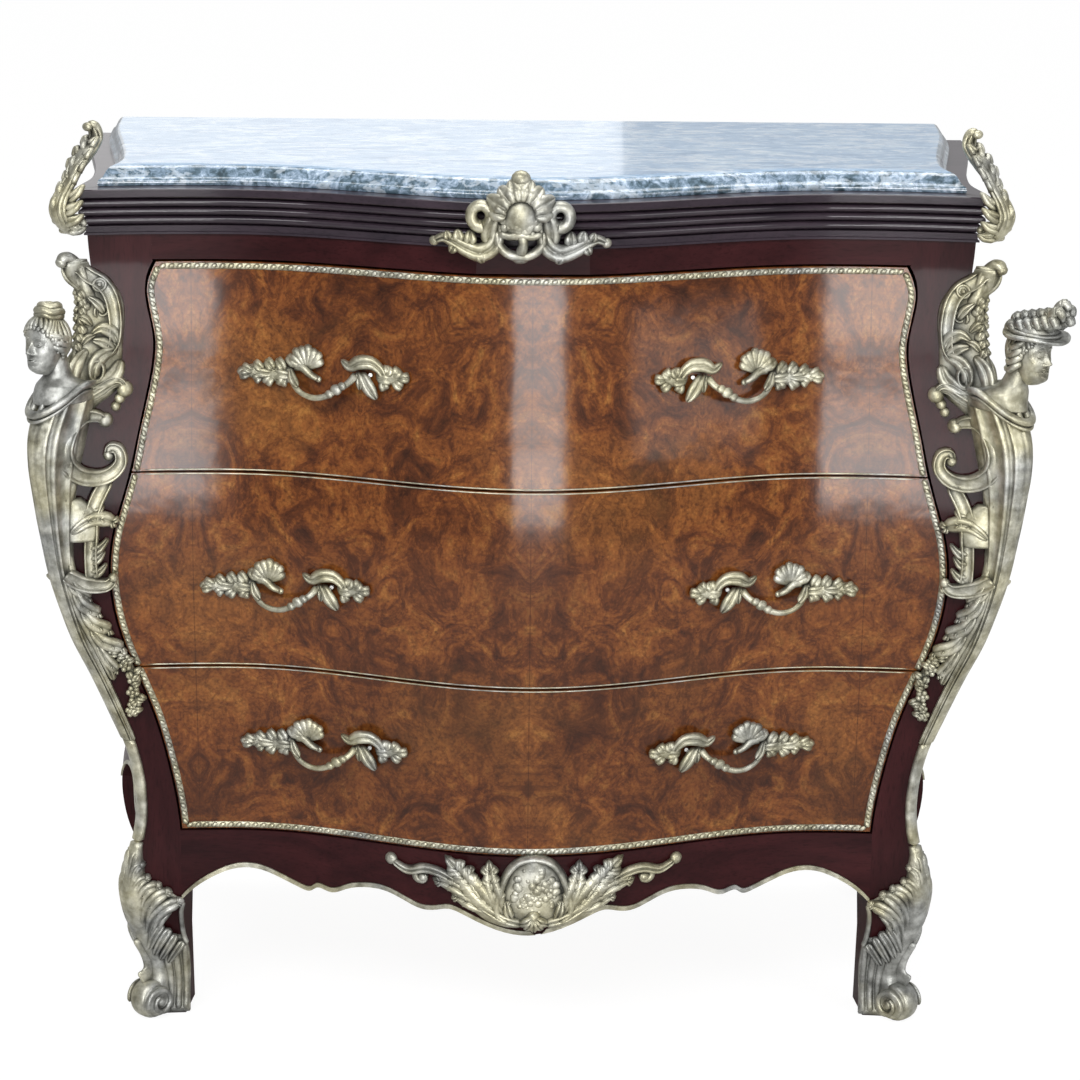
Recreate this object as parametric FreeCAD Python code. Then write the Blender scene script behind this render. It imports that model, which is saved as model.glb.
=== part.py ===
# Bombe chest of three drawers with a marble top and gilt bronze mounts.
# Millimetres, +Z up, +X to the right, the front faces -Y.
# The origin lies on the floor, under the middle of the overall box.

import FreeCAD, Part
import math
import os
from FreeCAD import Vector

# Driving dimensions
top_height = 915.0          # floor to the face of the marble
case_height = 849.0         # floor to the underside of the cornice
cornice_height = 47.0
cornice_width = 34.0
front_plane = -141.0        # depth of the front corners, before they swell
case_depth = 388.0          # front corners to the back
belly_depth = 75.0          # how far the middle of the front stands before its flanks
belly_half_width = 310.0
ear_depth = 14.0            # forward turn of the front beside each corner
ear_width = 140.0
side_flare = 30.0           # the case is this much wider at the back, each side, at the top
side_waist = 8.0            # hollow of the sides just behind the front corners
foot_flare = 0.94           # growth of the flare from the cornice to the floor

opening_top = 823.0
opening_bottom = 216.0
drawer_lines = (610.0, 403.0)
drawer_gap = 2.5            # between the drawer fronts and the case
line_gap = 2.0              # between one drawer front and the next
front_thickness = 24.0
side_board = 12.0
back_board = 10.0
drawer_floor = 6.0
drawer_depth = 345.0        # front plane to the back of the drawer box
box_lift = 9.0              # drawer box above the lower edge of its front
box_drop = 16.0             # drawer box below the upper edge of its front
box_start = 30.0            # the drawer sides reach this far before the front plane
dust_board = 12.0
bottom_board = 14.0
board_setback = 12.0        # the inner boards start this far behind the front plane
glide = 0.5                 # between a drawer box and the board under it
guide_width = 14.0
guide_height = 18.0
guide_length = 282.0

post_depth = 62.0
leg_depth = 48.0
rear_post_width = 46.0
rear_post_depth = 58.0
panel_thickness = 20.0
back_thickness = 12.0
apron_thickness = 24.0
leg_inside = 366.0          # half width between the front legs
foot_inside = 361.0         # the same at the back of the feet
knee_height = 150.0
leg_shoulder = 138.0        # the leg is notched behind the apron from here up
rail_inside = 383.5         # half width between the corner posts, over the drawers

top_board_thickness = 22.0
back_rail_depth = 24.0
marble_inset = 10.0         # the marble is this much inside the outline of the case
marble_bevel = 12.0
marble_lip = 6.0
relief = 7.0                # thickness of the applied bronze work
leaf_relief = 4.0
wrap_relief = 3.0
strip_relief = 2.0
strip_width = 5.0
rope_width = 6.5
rope_relief = 3.5
rope_inset = 1.0
bolt_pitch = 92.0
bolt_radius = 2.0
bolt_hole_radius = 2.05
bolt_grip = 5.0             # reach of a bolt into its handle
bolt_end = 14.0             # reach of a bolt behind the drawer front
nut_radius = 6.0
nut_height = 9.0
nut_seat = 3.0              # the nut starts this deep, and is cut to the curved back of the front
toe_radius = 21.0
toe_length = 47.0
crest_middle = -12.0
apron_middle = 8.0

back_plane = front_plane + case_depth
beyond = 700.0              # reach of the cutting tools
faces_low, faces_high = -30.0, 960.0    # heights between which the curved faces are drawn, past both ends

# Drawers: name, top and bottom of the front, half width of the box, middle of the right handle (x, z)
drawers = [("upper", opening_top - drawer_gap, drawer_lines[0] + line_gap / 2, 360.0, 208.0, 716.0),
           ("middle", drawer_lines[0] - line_gap / 2, drawer_lines[1] + line_gap / 2, 378.0, 248.0,
            497.0),
           ("lower", drawer_lines[1] - line_gap / 2, opening_bottom + drawer_gap, 342.0, 210.0, 324.0)]

# Half width of the case at its front corners, and of the drawer fronts: (height, half width)
corner_profile = [(0, 394), (30, 396), (60, 402), (100, 417), (145, 423), (185, 417), (230, 408),
                  (270, 408), (310, 415), (350, 428), (400, 445), (450, 461), (500, 470), (545, 470),
                  (600, 463), (650, 453), (700, 442), (745, 438), (800, 442), (849, 446), (915, 446)]
drawer_profile = [(210, 363), (250, 367), (300, 376), (350, 388), (390, 402), (430, 416), (470, 425),
                  (508, 428), (545, 424), (580, 414), (615, 404), (650, 397), (685, 389), (715, 383),
                  (742, 381), (765, 385), (792, 389), (807, 386), (820, 380), (830, 379)]
# Swell of the front seen from the side: (height, distance behind the front plane)
front_profile = [(0, 3), (40, 6), (95, -4), (150, -14), (220, -13), (300, -16), (400, -25), (500, -31),
                 (610, -23), (690, -9), (760, 3), (816, 9), (849, 9), (915, 9)]
# Flare of the side in plan: (distance behind the front plane, growth of the half width)
flare_profile = [(-60, 0), (0, 0), (65, -side_waist), (130, -3), (200, 8), (300, 24), (388, side_flare),
                 (450, 32)]
# Steps of the cornice over the case: (bottom, top, overhang)
cornice_layers = [(0.0, 2.0, 3.0), (2.0, 9.0, 1.5), (9.0, 11.0, -1.0), (11.0, 17.5, 5.0),
                  (17.5, 19.5, 0.5), (19.5, 26.0, 7.0), (26.0, 28.0, 2.0), (28.0, 35.0, 9.5),
                  (35.0, 37.0, 5.0), (37.0, 47.0, 12.0)]
# Lower edge of the apron from the leg to the middle: (half distance from the middle, height)
apron_edge = [(366, 138), (352, 152), (330, 166), (303, 175), (280, 173), (262, 166), (240, 156),
              (228, 154), (222, 158), (208, 155), (190, 161), (172, 166), (150, 166), (128, 158),
              (108, 151), (96, 152), (82, 155), (66, 150), (40, 138), (18, 131), (0, 129)]
side_apron_edge = [(62, 150), (84, 168), (110, 180), (140, 180), (165, 168), (196, 150), (230, 170),
                   (258, 182), (288, 180), (312, 168), (330, 150)]


def smooth(knots, t):
    """Height of a smooth curve through the knots, at t."""
    last = len(knots) - 1
    i = 0
    while i < last - 1 and t > knots[i + 1][0]:
        i += 1

    def slope(k):
        a = max(k - 1, 0)
        b = min(k + 1, last)
        return (knots[b][1] - knots[a][1]) / (knots[b][0] - knots[a][0])

    (t0, v0), (t1, v1) = knots[i], knots[i + 1]
    span = t1 - t0
    u = min(max((t - t0) / span, 0.0), 1.0)
    rise = v1 - v0
    bend0 = slope(i) * span - rise
    bend1 = rise - slope(i + 1) * span
    return v0 + rise * u + u * (1 - u) * (bend0 * (1 - u) + bend1 * u)


def front_y(x, z):
    """Depth of the front surface."""
    reach = min(abs(x) / belly_half_width, 1.0)
    belly = belly_depth * 0.5 * (1 + math.cos(math.pi * reach))
    ear = ear_depth * max(0.0, (abs(x) - belly_half_width) / ear_width) ** 2
    return front_plane + smooth(front_profile, z) - belly - ear


def side_x(y, z):
    """Half width of the case at this depth and height."""
    growth = 1 + foot_flare * (1 - min(z, case_height) / case_height)
    return smooth(corner_profile, z) + growth * smooth(flare_profile, y - front_plane)


def corner(z):
    """The corner of the case, where the front meets the right side."""
    x = smooth(corner_profile, z)
    return Vector(x, front_y(x, z), z)


def box(x0, x1, y0, y1, z0, z1):
    return Part.makeBox(x1 - x0, y1 - y0, z1 - z0, Vector(x0, y0, z0))


def main_solid(shape):
    """The largest solid of a cut shape."""
    return max(shape.Solids, key=lambda s: s.Volume)


def steps(low, high, count):
    return [low + (high - low) * i / count for i in range(count + 1)]


def surface(rows):
    face = Part.BSplineSurface()
    face.interpolate(rows)
    return face.toShape()


def curve(points):
    spline = Part.BSplineCurve()
    spline.interpolate(points)
    return spline.toShape()


def polyline(points):
    return [Part.makeLine(a, b) for a, b in zip(points, points[1:])]


def prism(edges, direction):
    """Solid under a closed outline of edges."""
    return Part.Face(Part.Wire(edges)).extrude(direction)


def front_face():
    heights = steps(faces_low, faces_high, 33)
    return surface([[Vector(x, front_y(x, z), z) for x in steps(-560, 560, 24)] for z in heights])


def side_face():
    heights = steps(faces_low, faces_high, 33)
    depths = steps(front_plane - 60, back_plane + 60, 14)
    return surface([[Vector(side_x(y, z), y, z) for y in depths] for z in heights])


def mirrored(shape):
    return shape.mirror(Vector(0, 0, 0), Vector(1, 0, 0))


def pair(name, right):
    return {name + "_right": right, name + "_left": mirrored(right)}


def front_outline(points):
    """Solid under a closed smooth outline given in the front view, cut through the depth."""
    loop = [Vector(x, -beyond, z) for x, z in points]
    spline = Part.BSplineCurve()
    spline.interpolate(Points=loop, PeriodicFlag=True)
    return prism([spline.toShape()], Vector(0, 2 * beyond, 0))


FRONT = front_face()
SIDE = side_face()


def front_slab(outward, inward):
    """Layer along the front surface, from outward of it to inward of it."""
    start = FRONT.translated(Vector(0, -outward, 0))
    return start.extrude(Vector(0, outward + inward, 0))


def side_slab(outward, inward):
    """Layer along the right side surface, from outward of it to inward of it."""
    start = SIDE.translated(Vector(outward, 0, 0))
    return start.extrude(Vector(-outward - inward, 0, 0))


def case_block():
    """The whole case as a solid block: each wooden part of the case is cut from it."""
    block = front_slab(0, beyond).common(side_slab(0, 2 * beyond))
    block = block.common(mirrored(side_slab(0, 2 * beyond)))
    return block.common(box(-beyond, beyond, -beyond, back_plane, 0, case_height))


CASE = case_block()


def drawer_edge(z0, z1, outward):
    """Edge of the drawer fronts between two heights, moved outward."""
    points = [Vector(smooth(drawer_profile, z) + outward, -beyond, z) for z in steps(z0, z1, 16)]
    return curve(points)


def opening_prism():
    """The opening of the case for the drawers, in the front view."""
    low = smooth(drawer_profile, opening_bottom) + drawer_gap
    high = smooth(drawer_profile, opening_top) + drawer_gap
    right = drawer_edge(opening_bottom, opening_top, drawer_gap)
    top = Part.makeLine(Vector(high, -beyond, opening_top), Vector(-high, -beyond, opening_top))
    bottom = Part.makeLine(Vector(-low, -beyond, opening_bottom), Vector(low, -beyond, opening_bottom))
    return prism([bottom, right, top, mirrored(right)], Vector(0, 2 * beyond, 0))


OPENING = opening_prism()


def front_leg():
    """Corner post and cabriole leg in one piece."""
    blank = CASE.common(box(foot_inside, beyond, -beyond, front_plane + post_depth, 0, case_height))
    rear = [Vector(0, front_plane + leg_depth, -1), Vector(0, front_plane + leg_depth - 6, 90)]
    rear += [Vector(0, front_plane + leg_depth, 120)]
    rear += [Vector(0, front_plane + post_depth + 1, knee_height + 30)]
    rear += [Vector(0, beyond, knee_height + 30), Vector(0, beyond, -1), rear[0]]
    blank = blank.cut(prism(polyline(rear), Vector(beyond, 0, 0)))
    inner = box(0, leg_inside, -beyond, beyond, leg_shoulder, opening_bottom)
    over_drawers = box(0, rail_inside, -beyond, beyond, opening_top - 1, case_height)
    heel = [Vector(0, -beyond, 0), Vector(leg_inside, -beyond, 0), Vector(leg_inside, front_plane, 0)]
    heel += [Vector(foot_inside, front_plane + leg_depth, 0), Vector(0, beyond, 0), heel[0]]
    blank = blank.cut(prism(polyline(heel), Vector(0, 0, leg_shoulder)))
    return blank.cut(OPENING).cut(inner).cut(over_drawers)


def rear_leg():
    """Rear post and leg in one piece."""
    post = side_slab(0, rear_post_width).common(CASE)
    return post.common(box(0, beyond, back_plane - rear_post_depth, back_plane, 0, case_height))


def apron_outline(raise_by):
    """Edges of the lower outline of the apron, from the left leg to the right."""
    right = [Vector(x, -beyond, z + raise_by) for x, z in reversed(apron_edge)]
    left = [Vector(-p.x, p.y, p.z) for p in reversed(right[1:])]
    return curve(left + right)


def apron_prism(raise_by, top):
    low = apron_outline(raise_by)
    a = Vector(-leg_inside, -beyond, apron_edge[0][1] + raise_by)
    b = Vector(leg_inside, -beyond, apron_edge[0][1] + raise_by)
    lines = polyline([b, Vector(b.x, b.y, top), Vector(a.x, a.y, top), a])
    return prism([low] + lines, Vector(0, 2 * beyond, 0))


def front_apron():
    return front_slab(0, apron_thickness).common(apron_prism(0, opening_bottom))


def apron_strip():
    """Gilt strip along the lower edge of the front apron."""
    band = apron_prism(0, opening_bottom - strip_width).cut(apron_prism(strip_width, opening_bottom))
    return front_slab(strip_relief, 0).common(band)


def side_apron_prism(raise_by, top):
    points = [Vector(0, front_plane + y, z + raise_by) for y, z in side_apron_edge]
    first, last = points[0], points[-1]
    lines = polyline([last, Vector(0, last.y, top), Vector(0, first.y, top), first])
    return prism([curve(points)] + lines, Vector(beyond, 0, 0))


def side_apron():
    return side_slab(0, panel_thickness).common(side_apron_prism(0, opening_bottom))


def side_apron_strip():
    whole = side_apron_prism(0, opening_bottom - strip_width)
    band = whole.cut(side_apron_prism(strip_width, opening_bottom))
    return side_slab(strip_relief, 0).common(band)


def side_panel():
    y_front = front_plane + post_depth
    y_rear = back_plane - rear_post_depth
    space = box(0, beyond, y_front, y_rear, opening_bottom, case_height)
    return side_slab(0, panel_thickness).common(space)


def top_rail():
    depth = box(-rail_inside, rail_inside, -beyond, front_plane + post_depth, opening_top, case_height)
    return CASE.common(depth)


def back_panel(posts):
    space = box(-beyond, beyond, back_plane - back_thickness, back_plane, knee_height, case_height)
    return CASE.common(space).cut(posts)


def inner_board(top, thickness, neighbours):
    """Level board inside the case, cut to its neighbours."""
    y_front = front_plane + board_setback
    board = CASE.common(box(-beyond, beyond, y_front, back_plane - back_thickness, top - thickness, top))
    return main_solid(board.cut(neighbours))


def plan_edges(overhang, z):
    """Outline in plan at the top of the case, moved outward by the overhang: front, sides and back."""
    reach = smooth(corner_profile, case_height) + overhang
    y_corner = front_y(reach, case_height) - overhang
    x_corner = reach + smooth(flare_profile, y_corner - front_plane)
    half = [Vector(x, front_y(x, case_height) - overhang, z) for x in steps(0, x_corner - 20, 16)]
    half.append(Vector(x_corner, y_corner, z))
    front = [Vector(-p.x, p.y, z) for p in reversed(half[1:])] + half
    depths = steps(y_corner, back_plane, 14)
    side = [Vector(reach + smooth(flare_profile, y - front_plane), y, z) for y in depths]
    other = [Vector(-p.x, p.y, z) for p in reversed(side)]
    back = Part.makeLine(side[-1], other[0])
    return [curve(front), curve(side), back, curve(other)]


def plan_prism(overhang, z0, z1):
    return prism(plan_edges(overhang, z0), Vector(0, 0, z1 - z0))


def marble_top():
    """Marble slab with a sloping moulded edge over an upright lip."""
    seat = case_height + cornice_height
    low = plan_prism(-marble_inset, seat, seat + marble_lip)
    wide = Part.Wire(plan_edges(-marble_inset, seat + marble_lip))
    narrow = Part.Wire(plan_edges(-marble_inset - marble_bevel, top_height))
    edge = Part.makeLoft([wide, narrow], True, True)
    back = box(-beyond, beyond, back_plane - 0.5 * marble_bevel, beyond, seat, top_height)
    return low.fuse(edge).cut(back).removeSplitter()


def cornice():
    """Reeded cornice, mitred at the front corners: front, left and right pieces."""
    layers = [plan_prism(out, case_height + low, case_height + high) for low, high, out in cornice_layers]
    ring = layers[0].multiFuse(layers[1:])
    ring = ring.cut(plan_prism(-cornice_width, case_height - 1, top_height))
    inside = side_x(back_plane, case_height) - cornice_width
    ring = ring.cut(box(-inside, inside, back_plane - cornice_width, beyond, 0, top_height))
    top = corner(case_height)
    apex = Vector(0, top.y + top.x, case_height - 1)
    mitre = [apex, Vector(-beyond, apex.y - beyond, apex.z), Vector(beyond, apex.y - beyond, apex.z), apex]
    wedge = prism(polyline(mitre), Vector(0, 0, 100))
    front = ring.common(wedge)
    sides = ring.cut(wedge)
    return front, sides.common(box(0, beyond, -beyond, beyond, 0, top_height))


def top_board():
    """Board that closes the case under the marble, inside the cornice."""
    return plan_prism(-cornice_width, case_height, case_height + top_board_thickness)


def back_rail():
    """Rail on the back edge of the top board, level with the cornice."""
    space = plan_prism(-cornice_width, case_height + top_board_thickness, case_height + cornice_height)
    return space.common(box(-beyond, beyond, back_plane - back_rail_depth, beyond, 0, top_height))


def drawer_prism(z0, z1, inset):
    low = smooth(drawer_profile, z0) - inset
    high = smooth(drawer_profile, z1) - inset
    right = drawer_edge(z0, z1, -inset)
    top = Part.makeLine(Vector(high, -beyond, z1), Vector(-high, -beyond, z1))
    bottom = Part.makeLine(Vector(-low, -beyond, z0), Vector(low, -beyond, z0))
    return prism([bottom, right, top, mirrored(right)], Vector(0, 2 * beyond, 0))


def bolt_places(x_handle):
    return x_handle - bolt_pitch / 2, x_handle + bolt_pitch / 2


def bolt_rod(radius, x, z, y0, y1):
    """Cylinder through the front surface, from y0 to y1 behind it."""
    return Part.makeCylinder(radius, y1 - y0, Vector(x, front_y(x, z) + y0, z), Vector(0, 1, 0))


def drawer_front(z0, z1, x_handle, z_handle):
    """Serpentine, swelling front, bored for the handle bolts."""
    front = front_slab(0, front_thickness).common(drawer_prism(z0, z1, 0))
    for x in bolt_places(x_handle):
        hole = bolt_rod(bolt_hole_radius, x, z_handle, -front_thickness, 2 * front_thickness)
        front = front.cut(hole).cut(mirrored(hole))
    return front


def drawer_box(front, z0, z1, half, box_low):
    """Sides, back and bottom behind a drawer front."""
    y_back = front_plane + drawer_depth
    y_inside = y_back - back_board
    box_top = z1 - box_drop
    start = front_plane - box_start
    inside = half - side_board
    floor_low = box_low + 2
    floor_top = floor_low + drawer_floor
    side = box(inside, half, start, y_back, box_low, box_top)
    back = box(-inside, inside, y_inside, y_back, floor_top, box_top - drawer_floor)
    floor = box(-inside, inside, start - belly_depth, y_inside, floor_low, floor_top)
    return main_solid(side.cut(front)), back, main_solid(floor.cut(front))


def rope_trim(z0, z1, top_band, bottom_band):
    """Rope trim of one drawer front: both sides, and the top or bottom edge where the group ends."""
    outer_top = z1 - rope_inset * top_band
    outer_bottom = z0 + rope_inset * bottom_band
    outer = drawer_prism(outer_bottom, outer_top, rope_inset)
    inner = drawer_prism(outer_bottom + rope_width * bottom_band, outer_top - rope_width * top_band,
                         rope_inset + rope_width)
    return front_slab(rope_relief, 0).common(outer.cut(inner))


def leaf_outline(x, z, length, height, lobes, turn):
    """Closed outline of a lobed leaf spray about (x, z)."""
    points = []
    lobe_depth = 0.14
    for a in steps(0, 2 * math.pi, 4 * lobes)[:-1]:
        edge = 1 + lobe_depth * math.cos(lobes * a)
        u = 0.5 * length * edge * math.cos(a)
        v = 0.5 * height * edge * math.sin(a)
        along = u * math.cos(turn) - v * math.sin(turn)
        up = u * math.sin(turn) + v * math.cos(turn)
        points.append((x + along, z + up))
    return points


def rod(points, radii):
    """Round bar of changing thickness along a path."""
    sections = []
    for i, (p, r) in enumerate(zip(points, radii)):
        ahead = points[min(i + 1, len(points) - 1)] - points[max(i - 1, 0)]
        sections.append(Part.Wire([Part.makeCircle(r, p, ahead)]))
    return Part.makeLoft(sections, True, False)


def ellipsoid(centre, rx, ry, rz):
    ball = Part.makeSphere(1.0)
    scale = FreeCAD.Matrix()
    scale.scale(rx, ry, rz)
    return ball.transformGeometry(scale).translated(centre)


def handle(x, z, wood):
    """Fixed handle of the right side: two leafy plates and a raised bail between them."""
    slab = front_slab(relief, front_thickness)
    sprays = [leaf_outline(x + 58, z + 2, 60, 28, 6, 0.12), leaf_outline(x - 50, z - 2, 68, 28, 6, 0.25),
              leaf_outline(x + 26, z + 13, 34, 32, 7, 0.6)]
    plates = [slab.common(front_outline(points)) for points in sprays]
    path = []
    radii = []
    for s in steps(0, 1, 10):
        px = x + 38 - 78 * s
        swing = math.sin(math.pi * s)
        path.append(Vector(px, front_y(px, z) - 26 * swing, z + 6 - 24 * swing))
        radii.append(4.4 + 1.2 * math.cos(2 * math.pi * s))
    pegs = [bolt_rod(5.5, peg_x, z, -relief, front_thickness / 2) for peg_x in bolt_places(x)]
    body = plates[0].multiFuse(plates[1:] + pegs + [rod(path, radii)])
    body = body.cut(wood)
    for hole_x in bolt_places(x):
        body = body.cut(bolt_rod(bolt_hole_radius, hole_x, z, -bolt_grip, 2 * front_thickness))
    return main_solid(body)


def handle_bolts(x_handle, z_handle, front):
    """Bolts with their nuts seated on the back of the drawer front."""
    bolts = []
    for x in bolt_places(x_handle):
        shank = bolt_rod(bolt_radius, x, z_handle, 0.5 - bolt_grip, front_thickness + bolt_end)
        start = front_thickness - nut_seat
        nut = bolt_rod(nut_radius, x, z_handle, start, start + nut_height)
        bolt = main_solid(shank.fuse(nut.cut(front)))
        bolts += [bolt, mirrored(bolt)]
    return Part.makeCompound(bolts)


outward = Vector(math.sqrt(0.5), -math.sqrt(0.5), 0)
across = Vector(math.sqrt(0.5), math.sqrt(0.5), 0)

# Term of the corner mount: (height, stand-off from the corner, half depth, half width)
term_profile = [(703, 32, 20, 19), (680, 36, 31, 21), (650, 35, 35, 18), (608, 27, 27, 16),
                (551, 13, 17, 13.5), (498, 6, 11.5, 11.5), (440, 4, 9, 9.5), (391, 2, 7, 8.5),
                (350, 1.5, 6.5, 7.5), (322, 1, 5, 6)]


def diagonal_loft(profile):
    """Body of oval level sections, set out from the corner along its diagonal."""
    wires = []
    for z, stand_off, deep, wide in profile:
        oval = Part.Ellipse(Vector(0, 0, 0), max(deep, wide + 0.01), wide).toShape()
        oval.rotate(Vector(0, 0, 0), Vector(0, 0, 1), -45)
        oval.translate(corner(z) + outward * stand_off)
        wires.append(Part.Wire([oval]))
    return Part.makeLoft(wires, True, False)


def side_outline(points):
    """Solid under an outline of the front view, folded round the corner onto the side."""
    loop = []
    for x, z in points:
        edge = corner(z)
        loop.append(Vector(0, edge.y + edge.x - x, z))
    spline = Part.BSplineCurve()
    spline.interpolate(Points=loop, PeriodicFlag=True)
    return prism([spline.toShape()], Vector(beyond, 0, 0))


def both_faces(points, thickness, overhang=0.0):
    """Relief plate on the front and its twin on the side; it may stand past the corner by the overhang."""
    reach = thickness + overhang
    limit = front_slab(reach, 200).common(side_slab(reach, 200))
    front = front_slab(thickness, 15).common(front_outline(points))
    side = side_slab(thickness, 15).common(side_outline(points))
    return [front.common(limit), side.common(limit)]


def scroll_plate(x, z, radius, band, gap_from, gap_to):
    """C-scroll on the front and its twin on the side, open between two angles in degrees."""
    sweep = gap_from - gap_to + 360
    angles = [math.radians(a) for a in steps(gap_to, gap_to + sweep, 12)]
    inside = radius - band
    outer = [(x + radius * math.cos(a), z + radius * math.sin(a)) for a in angles]
    inner = [(x + inside * math.cos(a), z + inside * math.sin(a)) for a in reversed(angles)]
    return both_faces(outer + inner, relief)


rocaille = [(403, 693), (409, 712), (403, 735), (402, 765), (406, 792), (418, 813), (436, 824),
            (452, 838), (463, 832), (457, 818), (452, 795), (455, 768), (458, 735), (466, 700),
            (455, 676), (430, 678)]
pierced_strap = [(446, 602), (438, 590), (433, 576), (438, 562), (434, 548), (440, 530), (438, 508),
                 (434, 494), (437, 485), (446, 483), (457, 492), (466, 520), (472, 560), (468, 596)]
strap_hole = [(454, 574), (460, 556), (458, 532), (451, 514), (448, 534), (450, 556)]
lower_leaf = [(458, 481), (446, 480), (437, 465), (432, 453), (424, 446), (420, 437), (421, 429),
              (430, 430), (442, 438), (456, 456), (466, 475)]
garland_outline = [(422, 424), (414, 414), (411, 402), (414, 392), (405, 382), (407, 370), (401, 360),
                   (405, 350), (413, 352), (416, 366), (425, 380), (430, 396), (438, 410), (436, 423)]
knee_leaf = [(414, 204), (408, 186), (400, 172), (392, 160), (378, 152), (369, 142), (384, 132),
             (372, 116), (371, 100), (385, 96), (402, 96), (440, 110), (446, 150), (436, 190), (424, 206)]
shaft_wrap = [(368, 108), (367, 70), (367, 30), (368, 1.0), (400, 1.0), (416, 1.0), (416, 60), (424, 108),
              (400, 112)]


def corner_mount(wood):
    """Term, rocaille, scroll, pierced strap and leaf in one casting, fitted to the post."""
    parts = [diagonal_loft(term_profile)]
    parts += both_faces(rocaille, relief, 12.0)
    parts += scroll_plate(441, 630, 33, 11, 95, 165)
    strap = both_faces(pierced_strap, relief)
    holes = [front_outline(strap_hole), side_outline(strap_hole)]
    parts += [plate.cut(hole) for plate, hole in zip(strap, holes)]
    parts += both_faces(lower_leaf, relief)
    casting = parts[0]
    for part in parts[1:]:
        casting = casting.fuse(part)
    return main_solid(casting.cut(wood))


def garland(wood, mount):
    plates = both_faces(garland_outline, relief)
    return [main_solid(plate.cut(wood).cut(mount)) for plate in plates]


def corner_strip(wood):
    """Plain gilt strip down the corner, from the corner mount to the sabot."""
    heights = steps(206, 321.5, 6)
    strip = rod([corner(z) for z in heights], [5.0] * len(heights))
    return main_solid(strip.cut(wood))


foot_profile = [(205, 1, 5.5, 5.5), (175, 2, 9, 10), (145, 3, 12, 13), (115, 2, 11, 12), (85, 2, 9, 11),
                (50, 2, 8, 11), (20, 2, 8, 11)]


def sabot(wood):
    """Leafy knee, shaft and volute toe of a front foot."""
    parts = [diagonal_loft(foot_profile)]
    parts += both_faces(knee_leaf, leaf_relief)
    parts += both_faces(shaft_wrap, wrap_relief)
    start = corner(toe_radius) + outward * 8 - across * (toe_length / 2)
    parts.append(Part.makeCylinder(toe_radius, toe_length, start, across))
    casting = parts[0]
    for part in parts[1:]:
        casting = casting.fuse(part)
    casting = casting.common(box(0, beyond, -beyond, beyond, 0, case_height))
    return main_solid(casting.cut(wood))


def bust(hat, mount):
    """Neck, shoulders and head; the right one wears a plumed hat, the left one a knot of hair."""
    shoulders = diagonal_loft([(703, 32, 20, 19), (712, 33, 18, 20), (720, 35, 12, 12), (727, 40, 9, 9),
                               (738, 50, 10, 9)])
    head_centre = corner(755) + outward * 63
    head = ellipsoid(Vector(0, 0, 0), 25, 20, 27)
    head.rotate(Vector(0, 0, 0), Vector(0, 0, 1), -45)
    head.translate(head_centre)
    body = shoulders.fuse(head)
    if hat:
        brim = Part.makeCylinder(31, 4, head_centre + Vector(0, 0, 13), Vector(0, 0, 1))
        crown = ellipsoid(head_centre + Vector(0, 0, 20), 21, 21, 16)
        plume = ellipsoid(head_centre + outward * 30 + Vector(0, 0, 36), 16, 16, 15)
        body = body.multiFuse([brim, crown, plume])
    else:
        knot = ellipsoid(head_centre - outward * 4 + Vector(0, 0, 30), 13, 13, 11)
        body = body.fuse(knot)
    return main_solid(body.cut(mount))


# Middle line of the clasp: (distance out from the corner of the cornice, height, radius)
clasp_path = [(2, 860, 6), (12, 856, 8), (19, 866, 11), (20, 882, 12), (14, 897, 11), (6, 909, 8),
              (-1, 919, 9), (-5, 930, 12), (-11, 940, 11), (-19, 947, 8), (-20, 954, 7), (-13, 957, 5.5)]


def corner_clasp(neighbours):
    """Leafy S-scroll that clasps the corner of the cornice and rises beside the marble."""
    top = corner(case_height)
    edge = top + Vector(9, -9, 0)
    points = [edge + outward * d + Vector(0, 0, z - case_height) for d, z, radius in clasp_path]
    scroll = rod(points, [radius for d, z, radius in clasp_path])
    return main_solid(scroll.cut(neighbours))


crest_wing = [(6, 868), (20, 866), (34, 862), (44, 870), (36, 882), (42, 896), (56, 890), (60, 872),
              (72, 862), (86, 857), (82, 850), (66, 848), (54, 842), (44, 846), (30, 848), (16, 840),
              (6, 838)]


def crest(cornice_front, marble):
    """Crest over the middle of the cornice: domed boss, knob, scrolled wings."""
    slab = front_slab(24, 0)
    y = front_y(crest_middle, 870) - 14
    core = ellipsoid(Vector(crest_middle, y, 893), 33, 20, 34)
    core = core.fuse(ellipsoid(Vector(crest_middle, y - 4, 922), 10, 9, 9))
    core = core.fuse(box(crest_middle - 9, crest_middle + 9, y - 8, y + 30, 838, 880))
    body = core.common(front_slab(80, 0))
    for side in (1, -1):
        wing = front_outline([(crest_middle + side * x, z) for x, z in crest_wing])
        body = body.fuse(slab.common(wing))
    return main_solid(body.cut(cornice_front).cut(marble))


apron_wing = [(0, 150), (22, 150), (40, 162), (62, 172), (90, 182), (118, 190), (146, 186), (150, 194),
              (134, 200), (108, 198), (96, 208), (78, 196), (60, 204), (46, 190), (30, 180), (0, 176)]


def apron_mount():
    """Cartouche in the middle of the apron, with an acanthus wing to each side."""
    slab = front_slab(relief, 0)
    right = [(apron_middle + x, z) for x, z in apron_wing]
    left = [(apron_middle - x, z) for x, z in apron_wing]
    middle = leaf_outline(apron_middle, 172, 66, 78, 6, math.pi / 6)
    body = slab.common(front_outline(middle)).fuse(slab.common(front_outline(right)))
    return main_solid(body.fuse(slab.common(front_outline(left))))


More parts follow.
